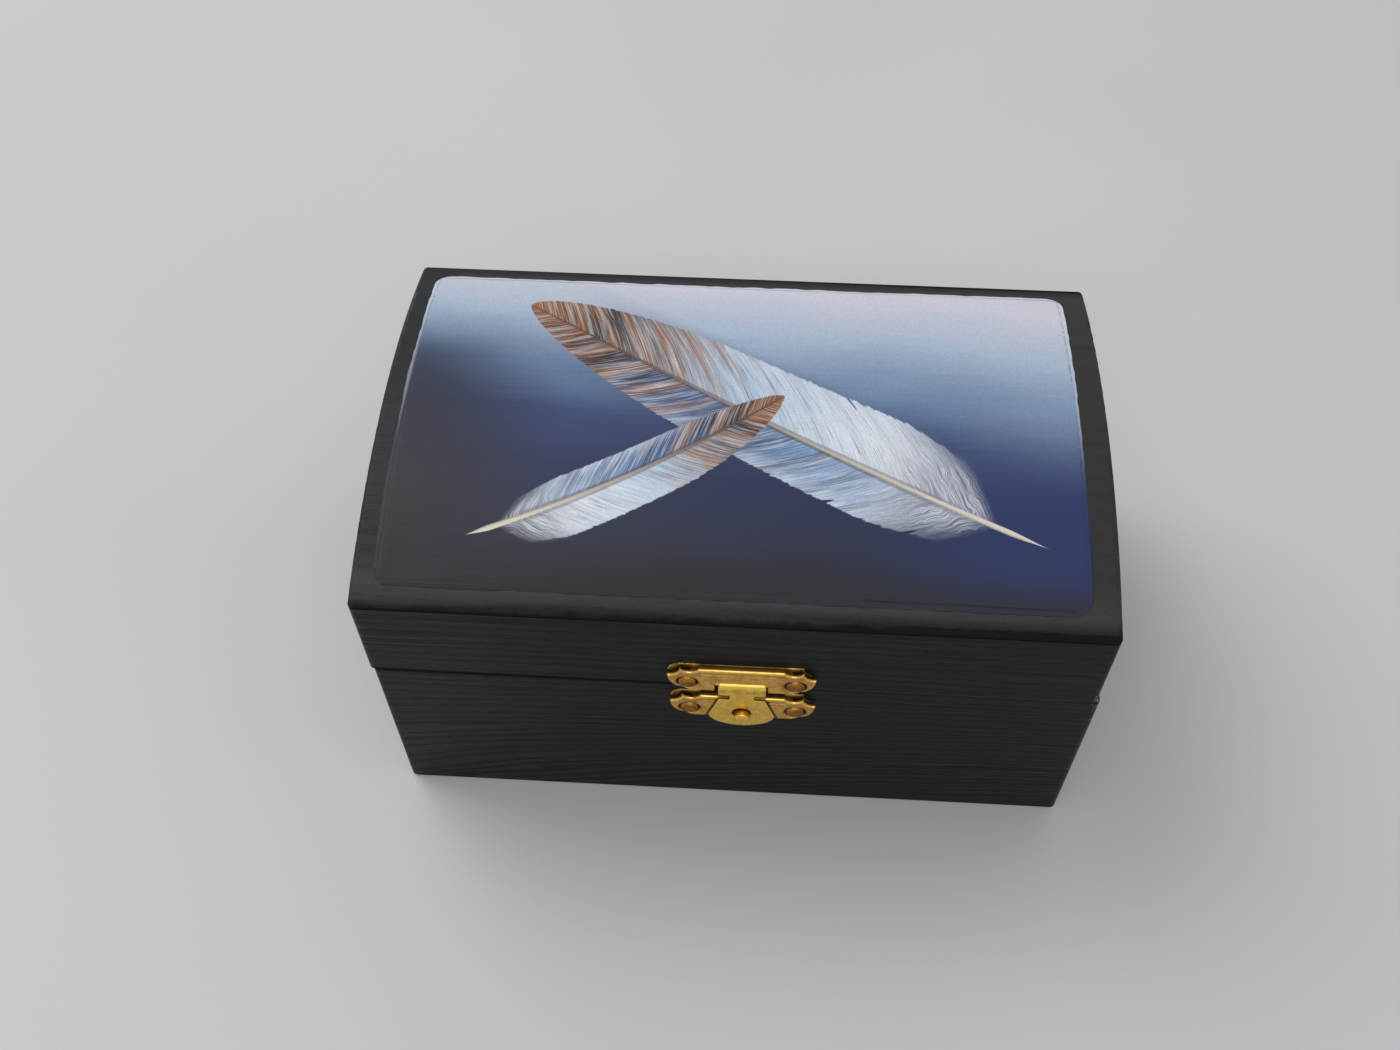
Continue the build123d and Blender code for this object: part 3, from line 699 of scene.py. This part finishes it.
def closed_sheet(name, pattern, front, back, material, smooth=SHEET_SMOOTH, hollow=None, wear_and_highlight=None):
    """A closed mesh from a flat pattern and the places, in millimetres, of its front and back points.

    hollow says, from 0 to 1, how much dirt and painted shade the front has at each point, and the
    argument after it how much polished wear and painted highlight.
    """
    _, triangles, rims, _ = pattern
    used = sorted({i for t in triangles for i in t})
    place = {old: new for new, old in enumerate(used)}
    places = np.vstack((front[used], back[used])) * MM
    shift = len(used)
    faces = [tuple(place[i] for i in t) for t in triangles]
    faces += [tuple(place[i] + shift for i in reversed(t)) for t in triangles]
    for rim in rims:
        for a, b in zip(rim, rim[1:] + rim[:1]):
            if a in place and b in place and a != b:
                faces.append((place[b], place[a], place[a] + shift, place[b] + shift))
    mesh = bpy.data.meshes.new(name)
    mesh.from_pydata([tuple(point) for point in places], [], faces)
    if hollow is not None:
        store(mesh, "hollow", np.concatenate((hollow[used], np.ones(shift))))
        store(mesh, "wear_and_highlight", np.concatenate((wear_and_highlight[used], np.zeros(shift))))
    return finish_mesh(name, mesh, material, smooth)


def finish_mesh(name, mesh, material, smooth):
    """Cleans a mesh, points its normals outwards, shades it smooth and makes its object.

    Edges that bend by more than smooth degrees stay sharp.
    """
    work = bmesh.new()
    work.from_mesh(mesh)
    bmesh.ops.remove_doubles(work, verts=work.verts, dist=1e-7)
    bmesh.ops.recalc_face_normals(work, faces=work.faces)
    for face in work.faces:
        face.smooth = True
    for edge in work.edges:
        edge.smooth = not (edge.is_manifold and edge.calc_face_angle(0.0) > math.radians(smooth))
    work.to_mesh(mesh)
    work.free()
    mesh.materials.append(material)
    piece = bpy.data.objects.new(name, mesh)
    bpy.context.scene.collection.objects.link(piece)
    return piece


def joined(pieces, name):
    """Several objects as one, under the first one's place and the given name."""
    with bpy.context.temp_override(active_object=pieces[0], selected_editable_objects=pieces):
        bpy.ops.object.join()
    pieces[0].name = name
    return pieces[0]


def lathe(name, profile, centre, material, sides, wobble, hollow, wear_and_highlight=()):
    """Turns a profile of (radius, height) points about an axis that runs forwards from centre.

    wobble is its unevenness; hollow gives the dirt and painted shade of each profile point, and the
    argument after it their polished wear and painted highlight.
    """
    turn = Vector((0, 0, 1)).rotation_difference(Vector(FORWARD)).to_matrix()
    verts, faces = [], []
    lumps = rng.normal(0, wobble, (len(profile), HARMONICS))
    for i, (radius, height) in enumerate(profile):
        for k in range(sides):
            a = FULL_TURN * k / sides
            waves = (lumps[i][n] * math.cos((n + 1) * a + lumps[0][n] * 40) for n in range(HARMONICS))
            bump = sum(waves)
            r = max(radius * (1 + bump), 0.0)
            point = turn @ Vector((r * math.cos(a), r * math.sin(a), height + bump * radius * 0.6))
            verts.append(tuple((Vector(centre) + point) * MM))
    for i in range(len(profile) - 1):
        for k in range(sides):
            a, b = i * sides + k, i * sides + (k + 1) % sides
            faces.append((a, b, b + sides, a + sides))
    faces.append(tuple(range(sides))[::-1])
    last = (len(profile) - 1) * sides
    faces.append(tuple(range(last, last + sides)))
    mesh = bpy.data.meshes.new(name)
    mesh.from_pydata(verts, [], faces)
    for layer, values in (("hollow", hollow), ("wear_and_highlight", wear_and_highlight)):
        if len(values):
            store(mesh, layer, np.repeat(values, sides))
    return finish_mesh(name, mesh, material, TURNED_SMOOTH)


def ripple(points, size, seed):
    """Smooth wandering numbers around 0, the same every run, for hand-made unevenness."""
    draw = np.random.default_rng(seed)
    total = np.zeros(len(points))
    for _ in range(6):
        wave = draw.normal(0, 1, 2) / size
        total += np.sin(points @ wave * FULL_TURN + draw.uniform(0, 6.28)) / 6
    return total


def bell(distance, reach):
    """1 where distance is 0, falling to almost nothing at twice reach on both sides."""
    return np.exp(-((distance / reach) ** 2))


def fade(distance, reach):
    """1 up to distance 0, then falling off over about reach."""
    return np.exp(-np.clip(distance, 0, None) / reach)


def soft_step(distance, reach):
    """0 well below distance 0 and 1 well above it."""
    return 1 / (1 + np.exp(-distance / reach))


def round_edge(edge, radius):
    """0 at a sheet's edge, rising like a quarter circle to 1 at radius from it."""
    return np.sqrt(1 - (1 - np.clip(edge / radius, 0, 1)) ** 2)


# The latch's plates. The outline is the frame's, with the pressed relief of the real sheet.

PLATE_HEIGHT = 8.4
PLATE_WIDTH = 30.8
TIP_DROP = 2.5
TOOTH_INSET = 2.6
TOOTH_RISE = 0.45
SCALLOP_WIDTH = 3.9
SCALLOP_BOW = 1.4
NOTCH_BOW = 0.95
LOBE_INSET = 5.6
LOBE_BOW = 1.75
CUTOUT_HALF = 5.35
CUTOUT_HEIGHT = 3.1
CUTOUT_ROUND, CUTOUT_BOW = 0.7, 0.2
PLATE_CORNER = 0.3
PLATE_EDGE_ROUND = 0.48
PLATE_SHEET = 0.34
MIDDLE_HALF = 8.8  # half the length of the raised middle, between the lobes
CHANNEL_DROP, CHANNEL_REACH, CHANNEL_DEPTH = 1.55, 0.34, 0.24  # pressed below the top edge
LINE_DROP, LINE_REACH, LINE_DEPTH = 2.55, 0.22, 0.06  # the finer line below the channel
BEAD_HIGHLIGHT_DROP, BEAD_HIGHLIGHT_REACH = 0.62, 0.35  # a painted highlight along the worn bead above the channel
LOBE_SINK = 0.14
DIMPLE, DIMPLE_WALL = 2.3, 0.13  # the round hollow about each nail, and how steep it is
FREE_FROM = 10.4  # from the plate's middle out, where the lobes stand free of the wood
STUD_BELOW_TOP = 5.93

# The strip of sheet behind a plate's top edge

FLANGE_SHEET = 0.3
FLANGE_RISE = 0.12
FLANGE_DEPTH = 2.9
FLANGE_NOTCH_BOW = 0.75
FLANGE_INSET = 0.15  # of its tips from the plate's
FLANGE_TAPER = 1.2
FLANGE_SHOULDER = TOOTH_RISE * 0.7
FLANGE_EDGE_ROUND = 0.15

# The latch's nails

NAIL_INSET = 4.2
NAIL_DROP = 5.6
NAIL_SEAT = 0.52
NAIL_HEAD = 2.1
NAIL_DOME = 1.4
NAIL_BRIM = 0.1  # the head's thickness at its rim
NAIL_SHANK = 0.6
NAIL_LENGTH = 6.2
NAIL_POINT = 1.2
NAIL_X = PLATE_WIDTH / 2 - NAIL_INSET

# The hasp: one strip of sheet that follows a path, rolled round the pin at its top.

HASP_SHEET = 0.32
HASP_RUN = 0.43  # the knuckle's inner radius
HASP_HALF = 4.95
HASP_TOP_HEIGHT = 3.2
HASP_NECK_HALF = 2.55
HASP_SLOT = 1.6
HASP_SHOULDER_HALF = 4.85
HASP_FAN_HALF = 7.35
HASP_FAN_BOW = 3.4
HASP_FAN_SAG = 0.88
HASP_FAN_CORNER = 2.4
HASP_FAN_SLOPE = 0.32  # of its sides, per millimetre down
HASP_LENGTH = 16.0
HASP_HOLE = 2.0
HASP_SHIFT = -0.15  # of its middle from the lower plate's
HASP_EDGE_ROUND = 0.13
ROLL_END_DIP, ROLL_END_REACH = 0.16, 0.6
STUD_DROP = 10.5
ROLL_TURN = math.radians(292)
FLAT_FACING, FLAT_REACH = math.radians(58), math.radians(33)  # the worn flat on the roll


def plate_loop(cutout):
    """The plate's outline, clockwise from the middle of its top edge at height 0."""
    tip, tooth = PLATE_WIDTH / 2, PLATE_WIDTH / 2 - TOOTH_INSET
    legs = [
        ((tooth - SCALLOP_WIDTH, 0), 0),
        ((tooth, TOOTH_RISE), -SCALLOP_BOW),
        ((tip, -TIP_DROP), -NOTCH_BOW),
        ((tip - LOBE_INSET, -PLATE_HEIGHT), LOBE_BOW),
    ]
    end = -PLATE_HEIGHT
    if cutout:
        end = CUTOUT_HEIGHT - PLATE_HEIGHT
        legs += [
            ((CUTOUT_HALF, -PLATE_HEIGHT), 0),
            ((CUTOUT_HALF, end - CUTOUT_ROUND), 0),
            ((CUTOUT_HALF - CUTOUT_ROUND, end), -CUTOUT_BOW),
        ]
    half = path((0, 0), *legs, ((0, end), 0)) + [(0, end)]
    return soften(mirrored(half), PLATE_CORNER)


def flange_piece(name, centre, top, wood, material, seed, middle_shade):
    """The strip of sheet that lies on the wood behind a plate's top edge and fills its scallops."""
    tip, tooth = PLATE_WIDTH / 2 - FLANGE_INSET, PLATE_WIDTH / 2 - TOOTH_INSET
    outline = path(
        (0, FLANGE_RISE),
        ((tooth, FLANGE_SHOULDER), 0),
        ((tip, -TIP_DROP), -NOTCH_BOW),
        ((tip - FLANGE_TAPER, -FLANGE_DEPTH), 0),
        ((-tip + FLANGE_TAPER, -FLANGE_DEPTH), 0),
        ((-tip, -TIP_DROP), 0),
        ((-tooth, FLANGE_SHOULDER), FLANGE_NOTCH_BOW),
        ((0, FLANGE_RISE), 0),
    )
    pattern = flat_pattern(soften(outline, 0.2), [], FLANGE_SPACING)
    verts, _, _, edge = pattern
    x, z = verts[:, 0], verts[:, 1]
    inner = np.clip(edge / FLANGE_EDGE_ROUND, 0, 1)
    height = FLANGE_SHEET * (0.5 + 0.5 * round_edge(edge, FLANGE_EDGE_ROUND))
    height += 0.03 * ripple(verts, 2.0, seed) * inner
    front = np.column_stack((centre + x, wood - height, top + z))
    back = np.column_stack((centre + x, np.full(len(x), wood - SHEET_GAP), top + z))
    # Dirt and painted shade darken the strip behind the plate's edge, and its edge carries a painted
    # highlight.
    in_middle = np.abs(x) < tooth - SCALLOP_WIDTH
    grime_and_shade = 0.55 + 0.35 * ripple(verts, 2.5, seed + 3) + middle_shade * in_middle
    wear_and_highlight = 0.8 * fade(edge, 0.16) * np.clip(0.5 + ripple(verts, 4.0, seed + 4), 0, 1)
    wear_and_highlight *= np.clip(1 - grime_and_shade, 0, 1) ** 0.5
    return closed_sheet(name, pattern, front, back, material, hollow=grime_and_shade, wear_and_highlight=wear_and_highlight)


def pressed_plate(node, cutout, material, seed):
    """A latch plate as one pressed sheet, with its rim, channel, dimples and lobes."""
    low, high = span(node)
    centre = centre_of(node)[0]
    top = low[2] + PLATE_HEIGHT
    wood = high[1]
    stand = high[1] - low[1]
    pattern = flat_pattern(plate_loop(cutout), [], PLATE_SPACING)
    verts, _, _, edge = pattern
    x, z = verts[:, 0], verts[:, 1]
    drop = -z
    from_dimple = np.hypot(np.abs(x) - NAIL_X, z + NAIL_DROP) - DIMPLE

    height = stand - PLATE_EDGE_ROUND * (1 - round_edge(edge, PLATE_EDGE_ROUND))
    middle = soft_step(MIDDLE_HALF - np.abs(x), 0.35)
    channel = bell(drop - CHANNEL_DROP, CHANNEL_REACH) * middle
    line = bell(drop - LINE_DROP, LINE_REACH) * middle
    height -= CHANNEL_DEPTH * channel + LINE_DEPTH * line
    lobe = 1 - middle
    height -= lobe * LOBE_SINK * np.clip(edge - 0.35, 0, 1)
    wall = soft_step(from_dimple + 0.12, DIMPLE_WALL)
    height = NAIL_SEAT + (height - NAIL_SEAT) * wall
    height += 0.035 * ripple(verts, 3.0, seed) * wall
    # The lobes stand free of the wood as bare sheet. The middle's rim and the dimples reach the wood.
    free = soft_step(np.abs(x) - FREE_FROM, 0.12) * wall
    under = np.clip(height - PLATE_SHEET, 0, None) * free
    front = np.column_stack((centre + x, wood - height, top + z))
    back = np.column_stack((centre + x, wood - under, top + z))

    # Grime and painted shade lie in the dimples, the channel, the lobes and on the cut edge. The rim is
    # rubbed and carries a painted highlight, as do the bead above the channel and the lower rims of the
    # dimples.
    grime_and_shade = 0.95 * (1 - wall) + 0.45 * bell(from_dimple, 0.45)
    grime_and_shade += 0.42 * channel + 0.2 * line + 0.22 * lobe * (0.5 + 0.5 * ripple(verts, 2.2, seed + 5))
    grime_and_shade += 0.95 * (edge < ON_EDGE)
    above_bottom = np.clip((z + PLATE_HEIGHT - 0.6) / 2.0, 0.25, 1)
    wear_and_highlight = bell(edge - 0.24, 0.19) * (0.8 + 0.4 * ripple(verts, 5.0, seed + 9)) * above_bottom
    wear_and_highlight += 0.35 * bell(drop - BEAD_HIGHLIGHT_DROP, BEAD_HIGHLIGHT_REACH) * middle
    if not cutout:
        # The lower plate gets painted shade in a ring about the stud, under the hasp's fan and in a
        # painted shadow line beside it, and no rubbed highlight under the fan.
        grime_and_shade += 0.9 * fade(np.hypot(x, z + STUD_BELOW_TOP) - 1.9, 0.4)
        fan_edge = HASP_SHOULDER_HALF - np.clip(z, None, 0) * HASP_FAN_SLOPE
        beside = np.abs(x - HASP_SHIFT) - fan_edge
        covered = np.clip(0.5 - beside / 0.3, 0, 1)
        grime_and_shade += 0.75 * covered + 0.9 * bell(beside - 0.18, 0.2)
        wear_and_highlight *= 1 - np.clip(0.8 - beside / 0.3, 0, 1)
    wear_and_highlight += 0.5 * bell(from_dimple - 0.1, 0.16) * (z + NAIL_DROP < 0)
    plate = closed_sheet(node + "_pressed", pattern, front, back, material, hollow=grime_and_shade, wear_and_highlight=wear_and_highlight)
    # Under the upper plate, the lower plate's flange gets a painted shadow in its middle.
    middle_shade = 0.0 if cutout else 0.8
    flange = flange_piece(node + "_flange", centre, top, wood, material, seed + 20, middle_shade)
    return joined((plate, flange), plate.name)


def round_corner(before, corner, after, radius, step=OUTLINE_STEP):
    """Points of a rounded corner between two straight or nearly straight runs."""
    a, c, b = (np.array(p, float) for p in (before, corner, after))
    u = (a - c) / np.linalg.norm(a - c)
    w = (b - c) / np.linalg.norm(b - c)
    half = math.acos(float(np.clip(u @ w, -1, 1))) / 2
    reach = radius / math.tan(half)
    centre = c + (u + w) / np.linalg.norm(u + w) * radius / math.sin(half)
    first, last = bearing(centre, c + u * reach), bearing(centre, c + w * reach)
    turn = (last - first + math.pi) % FULL_TURN - math.pi
    count = max(4, int(abs(turn) * radius / step))
    return around(centre, radius, [first + turn * i / count for i in range(count + 1)])


def hasp_piece(material):
    """The hasp, bent from a flat pattern whose height 0 is level with the pin."""
    centre = centre_of("hasp")[0]
    _, pin_y, pin_z = centre_of("hasp_pin")
    mid_radius = HASP_RUN + HASP_SHEET / 2
    outer = HASP_RUN + HASP_SHEET
    flat_y = span("hasp")[0][1] + HASP_SHEET / 2
    jog_length = 2 * outer

    roll_length = mid_radius * ROLL_TURN
    slot_top, slot_low = -HASP_TOP_HEIGHT, -HASP_TOP_HEIGHT - HASP_SLOT
    shoulder = (HASP_SHOULDER_HALF, slot_low)
    corner = (HASP_FAN_HALF, HASP_FAN_BOW - HASP_LENGTH)
    bottom = arc(corner, (0, -HASP_LENGTH), HASP_FAN_SAG)
    rounded = round_corner(shoulder, corner, bottom[len(bottom) // 2], HASP_FAN_CORNER)
    half = path(
        (0, roll_length),
        ((HASP_HALF, roll_length), 0),
        ((HASP_HALF, slot_top), 0),
        ((HASP_NECK_HALF, slot_top), 0),
        ((HASP_NECK_HALF, slot_low), 0),
        (shoulder, 0),
        (rounded[0], 0),
    )
    half += rounded + [p for p in bottom if p[0] < rounded[-1][0] - 0.1] + [(0, -HASP_LENGTH)]
    hole = circle((0, -STUD_DROP), HASP_HOLE)
    pattern = flat_pattern(soften(mirrored(half), 0.16), [hole], PLATE_SPACING)
    verts, _, _, edge = pattern

    # The strip's middle: up from the pin's level it is rolled, below it jogs back to the flat tongue.
    x, s = verts[:, 0], verts[:, 1]
    rolled = s > 0
    angle = np.clip(s, 0, None) / mid_radius
    drop = np.clip(-s / jog_length, 0, 1)
    ease = drop * drop * (3 - 2 * drop)
    jog = flat_y - pin_y + mid_radius
    mid_y = pin_y - mid_radius * np.cos(angle)
    mid_y = np.where(rolled, mid_y, pin_y - mid_radius + jog * ease)
    mid_z = np.where(rolled, pin_z + mid_radius * np.sin(angle), pin_z + s)
    slope = np.where(rolled, 0, jog / jog_length * 6 * drop * (1 - drop))
    steep = np.sqrt(1 + slope**2)
    out_y = np.where(rolled, -np.cos(angle), -1 / steep)
    out_z = np.where(rolled, np.sin(angle), -slope / steep)

    # The front of the roll is worn to a narrow flat that faces up and forwards.
    half_sheet = HASP_SHEET / 2 * (0.45 + 0.55 * round_edge(edge, HASP_EDGE_ROUND))
    near_hole = np.hypot(x, s + STUD_DROP) - HASP_HOLE
    from_flat = np.abs(angle - FLAT_FACING)
    flat_cut = outer * (1 - math.cos(FLAT_REACH) / np.cos(np.minimum(from_flat, FLAT_REACH)))
    near_end = np.clip((np.abs(x) - HASP_HALF + ROLL_END_REACH) / ROLL_END_REACH, 0, 1)
    end_dip = -ROLL_END_DIP * near_end**2 * (s > -0.4)
    lump = 0.02 * ripple(verts, 3.4, 5) * (s < -1) - flat_cut * rolled + end_dip
    front = half_sheet + lump + 0.03 * bell(near_hole - 0.3, 0.2)
    back = -half_sheet + end_dip

    def place(reach):
        return np.column_stack((centre + x, mid_y + out_y * reach, mid_z + out_z * reach))

    # Dirt and painted shade lie by the hole and on the cut edge; painted shade darkens the roll behind
    # the plate's cutout and a band below the knuckle. The knuckle's front and the edges carry polished
    # wear and a painted highlight.
    grime_and_shade = 0.35 * fade(near_hole, 0.35) + 0.5 * (edge < ON_EDGE) + 0.9 * (s > 1.2)
    grime_and_shade += 0.30 * bell(s + 1.15, 0.45)
    wear_and_highlight = (s > -0.25) * (s < 1.0) * np.clip((HASP_HALF - np.abs(x)) / 0.5, 0, 1)
    wear_and_highlight += 0.4 * fade(edge, 0.12)
    front, back = place(front), place(back)
    return closed_sheet("hasp_sheet", pattern, front, back, material, hollow=grime_and_shade, wear_and_highlight=wear_and_highlight)


# The catch stud's turned neck and the rounding of its end

STUD_FLANGE, STUD_NECK_END = 1.1, 1.55
STUD_NECK = 1.0
STUD_SHANK = 0.975  # its radius at the end, as a share of its full radius
STUD_END = 0.5
STUD_ROUND, STUD_ROUND_RISE = 0.42, 0.36


def catch_stud(material):
    """The turned stud, its flange on the plate and its slightly crowned end."""
    low, high = span("catch_stud")
    x, _, z = centre_of("catch_stud")
    radius = (high[0] - low[0]) / 2
    reach = high[1] - low[1]
    profile = [(0.0, 0.0), (radius, 0.0), (radius, STUD_FLANGE), (STUD_NECK, STUD_FLANGE + 0.05)]
    profile += [(STUD_NECK, STUD_NECK_END), (radius * 0.98, STUD_NECK_END + 0.03), (radius, 1.7)]
    profile += [(radius * 0.985, reach - 0.75), (radius * STUD_SHANK, reach - STUD_END)]
    for degrees in range(15, 105, 15):
        a = math.radians(degrees)
        inward = STUD_ROUND * (1 - math.cos(a))
        profile.append((radius * STUD_SHANK - inward, reach - STUD_END + STUD_ROUND_RISE * math.sin(a)))
    profile += [(radius * 0.45, reach - 0.06), (radius * 0.2, reach - 0.01), (0.0, reach)]
    # Patina and painted shade darken the flange and the neck, where the stud meets the plate.
    grime_and_shade = [0.8] * 7 + [0.55, 0.2] + [0.0] * (len(profile) - 9)
    return lathe("catch_stud_turned", profile, (x, high[1], z), material, 56, 0.004, grime_and_shade)


def nails(name, node, material, points):
    """Round-headed nails as one piece, each head a little uneven."""
    profile = [(0.0, -NAIL_LENGTH), (NAIL_SHANK, -NAIL_LENGTH + NAIL_POINT), (NAIL_SHANK, -0.02)]
    profile += [(NAIL_HEAD * 0.86, 0.0)]
    for step in range(7):
        a = math.radians(90 * step / 7)
        rise = (NAIL_DOME - NAIL_BRIM) * math.sin(a)
        profile.append((NAIL_HEAD * math.cos(a) ** 0.8, NAIL_BRIM + rise))
    profile += [(0.0, NAIL_DOME)]
    # Patina and painted shade darken the shank and each head towards its rim; a ring part way up the
    # dome, and its top, carry polished wear and a painted highlight.
    grime_and_shade = [1.0] * 5 + [0.8, 0.35, 0.25, 0.2, 0.1, 0.0, 0.0]
    polish_and_highlight = [0.0] * 6 + [0.35, 0.5, 0.15, 0.0, 0.0, 0.05]
    pieces = []
    for i, point in enumerate(points):
        spot = Vector(point) + Vector(FORWARD) * NAIL_SEAT
        pieces.append(lathe(f"{name}_{i}", profile, spot, material, 40, 0.012, grime_and_shade, polish_and_highlight))
    heads = joined(pieces, name)
    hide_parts(node)
    return heads


# The lid's print as a thin sheet that follows the crown, its cut edge a little uneven.


PRINT_THICKNESS = 0.2
PRINT_ROUND = 3.6
PRINT_EDGE_ROUND = 0.5
CROWN_RISE = 7.4
CROWN_RADIUS = (HALF_DEPTH**2 + CROWN_RISE**2) / (2 * CROWN_RISE)
CROWN_TOP = span("lid_print")[1][2] - PRINT_THICKNESS


def crown_height(y):
    """The height of the wooden crown above the table at a distance y from the middle."""
    return CROWN_TOP - CROWN_RADIUS + np.sqrt(CROWN_RADIUS**2 - y**2)


def print_sheet(material):
    """The paper print: it lies on the crown, with lifted wrinkles by its front and a wandering edge."""
    low, high = span("lid_print")
    middle_x, middle_y, _ = centre_of("lid_print")
    half_x, half_y = (high[0] - low[0]) / 2, (high[1] - low[1]) / 2
    bow = PRINT_ROUND * (1 - math.sqrt(0.5))
    loop = []
    previous = (PRINT_ROUND - half_x, half_y)
    for x, y, come, go in (
        (half_x, half_y, (-1, 0), (0, -1)),
        (half_x, -half_y, (0, 1), (-1, 0)),
        (-half_x, -half_y, (1, 0), (0, 1)),
        (-half_x, half_y, (0, -1), (1, 0)),
    ):
        enter = (x + come[0] * PRINT_ROUND, y + come[1] * PRINT_ROUND)
        leave = (x + go[0] * PRINT_ROUND, y + go[1] * PRINT_ROUND)
        loop += arc(previous, enter, 0, 0.6) + arc(enter, leave, bow, 0.4)
        previous = leave
    loop = np.array(loop)
    inward = -loop / np.linalg.norm(loop, axis=1)[:, None]
    wander = 0.34 * ripple(loop, 15.0, 3) + 0.16 * ripple(loop, 6.0, 4)
    loop = loop + inward * np.clip(0.20 + wander, 0.0, 0.8)[:, None]
    pattern = flat_pattern([tuple(p) for p in loop], [], PRINT_SPACING)
    verts, _, _, edge = pattern
    x, y = verts[:, 0] + middle_x, verts[:, 1] + middle_y
    lift = PRINT_THICKNESS * (0.35 + 0.65 * round_edge(edge, PRINT_EDGE_ROUND))
    creases = bell(edge - 2.2 - 0.8 * ripple(verts, 14.0, 8), 0.35) * (y < middle_y - half_y * 0.7)
    lift = lift + 0.07 * creases * np.clip(edge, 0, 1)
    z = crown_height(y)
    front = np.column_stack((x, y, z + lift))
    back = np.column_stack((x, y, z + SHEET_GAP))
    piece = closed_sheet("lid_print_paper", pattern, front, back, material, PLAIN_SMOOTH)
    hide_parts("lid_print")
    return piece


# Putting it together

painted_x = painted_wood("painted_wood_long", "x")
painted_y = painted_wood("painted_wood_end", "y")
plate_brass = brass(
    "plate_brass", bright=(0.85, 0.495, 0.105), dull=(0.61, 0.335, 0.068), rough=0.22, speck=0.014,
    tarnish_and_shade=(0.060, 0.034, 0.008), polish_and_highlight=0.24,
)
hasp_brass = brass(
    "hasp_brass", bright=(1.0, 0.66, 0.115), dull=(0.84, 0.53, 0.075), rough=0.24, speck=0.046,
    tarnish_and_shade=(0.11, 0.062, 0.011), polish_and_highlight=0.50,
)
stud_brass = brass(
    "stud_brass", bright=(1.0, 0.68, 0.19), dull=(0.90, 0.50, 0.080), rough=0.20, speck=0.008,
    tarnish_and_shade=(0.17, 0.064, 0.008), polish_and_highlight=0.24,
)
nail_brass = brass(
    "nail_brass", bright=(0.45, 0.205, 0.030), dull=(0.16, 0.064, 0.011), rough=0.26, speck=0.055,
    tarnish_and_shade=(0.022, 0.009, 0.002), polish_and_highlight=0.30,
)
hinge_brass = brass(
    "hinge_brass", bright=(0.85, 0.58, 0.20), dull=(0.58, 0.37, 0.12), rough=0.26, speck=0.016,
    tarnish_and_shade=(0.10, 0.055, 0.018), polish_and_highlight=0.22,
)

for node, piece in nodes.items():
    material = painted_x
    if "end" in node:
        material = painted_y
    elif "hinge" in node or node == "hasp_pin":
        material = hinge_brass
    piece.data.materials.clear()
    piece.data.materials.append(material)

print_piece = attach(print_sheet(print_paper("print_paper")), "lid")

for node, cutout, body, seed in (("upper_plate", True, "lid", 11), ("lower_plate", False, "base", 12)):
    piece = pressed_plate(node, cutout, plate_brass, seed)
    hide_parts(node)
    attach(piece, body)
    low, high = span(node)
    height = low[2] + PLATE_HEIGHT - NAIL_DROP
    points = [(centre_of(node)[0] + side * NAIL_X, high[1], height) for side in (-1, 1)]
    heads = nails(f"{node}_heads", f"{node}_nails", nail_brass, points)
    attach(heads, body)

tongue = hasp_piece(hasp_brass)
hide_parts("hasp")
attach(tongue, "hasp")

stud = catch_stud(stud_brass)
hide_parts("catch_stud")
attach(stud, "base")

# The floor, the light and the camera, all in metres and watts

FLOOR_REACH = 3.0
LIT_SPOT = (0, 0, 0.05)
SKY_COLOUR, SKY_STRENGTH = (0.93, 0.95, 1.0, 1.0), 0.67
floor_corners = [(x * FLOOR_REACH, y * FLOOR_REACH, 0) for x, y in ((-1, -1), (1, -1), (1, 1), (-1, 1))]
floor_mesh = bpy.data.meshes.new("floor")
floor_mesh.from_pydata(floor_corners, [], [(0, 1, 2, 3)])
floor_mesh.materials.append(studio_floor("floor_cloth"))
floor = bpy.data.objects.new("floor", floor_mesh)
bpy.context.scene.collection.objects.link(floor)


def softbox(name, place, width, height, watts):
    """A rectangular area lamp at place that faces the box."""
    lamp = bpy.data.lights.new(name, "AREA")
    lamp.shape = "RECTANGLE"
    lamp.size = width
    lamp.size_y = height
    lamp.energy = watts
    body = bpy.data.objects.new(name, lamp)
    body.location = place
    body.rotation_euler = (Vector(LIT_SPOT) - Vector(place)).to_track_quat("-Z", "Y").to_euler()
    bpy.context.scene.collection.objects.link(body)


softbox("key", place=(-0.72, 0.46, 1.25), width=0.9, height=0.9, watts=10.5)
softbox("front", place=(0.0, -1.0, 1.2), width=1.3, height=0.30, watts=5.6)

world = bpy.data.worlds.new("studio")
world.use_nodes = True
sky = world.node_tree.nodes["Background"]
sky.inputs["Color"].default_value = SKY_COLOUR
sky.inputs["Strength"].default_value = SKY_STRENGTH
bpy.context.scene.world = world

# The camera was fitted to the photograph: its focal length in pixels, its place, and its angles in
# degrees, looking down, turned to the left and rolled.

IMAGE_WIDTH = 1400
FOCAL_PIXELS = 1502.5
SENSOR_WIDTH = 36.0  # millimetres
NEAR_CLIP = 0.01
CAMERA_PLACE = (0.004325, -0.198443, 0.327557)
DOWN, YAW, ROLL = 55.015, 4.045, -0.771
camera_data = bpy.data.cameras.new("camera")
camera_data.sensor_fit = "HORIZONTAL"
camera_data.sensor_width = SENSOR_WIDTH
camera_data.lens = FOCAL_PIXELS / IMAGE_WIDTH * SENSOR_WIDTH
camera_data.clip_start = NEAR_CLIP
camera = bpy.data.objects.new("camera", camera_data)
turn = Matrix.Rotation(math.radians(YAW), 4, "Z")
turn = turn @ Matrix.Rotation(math.radians(90 - DOWN), 4, "X")
turn = turn @ Matrix.Rotation(math.radians(ROLL), 4, "Z")
camera.matrix_world = Matrix.Translation(CAMERA_PLACE) @ turn
bpy.context.scene.collection.objects.link(camera)
bpy.context.scene.camera = camera
bpy.context.scene.view_settings.view_transform = "Standard"
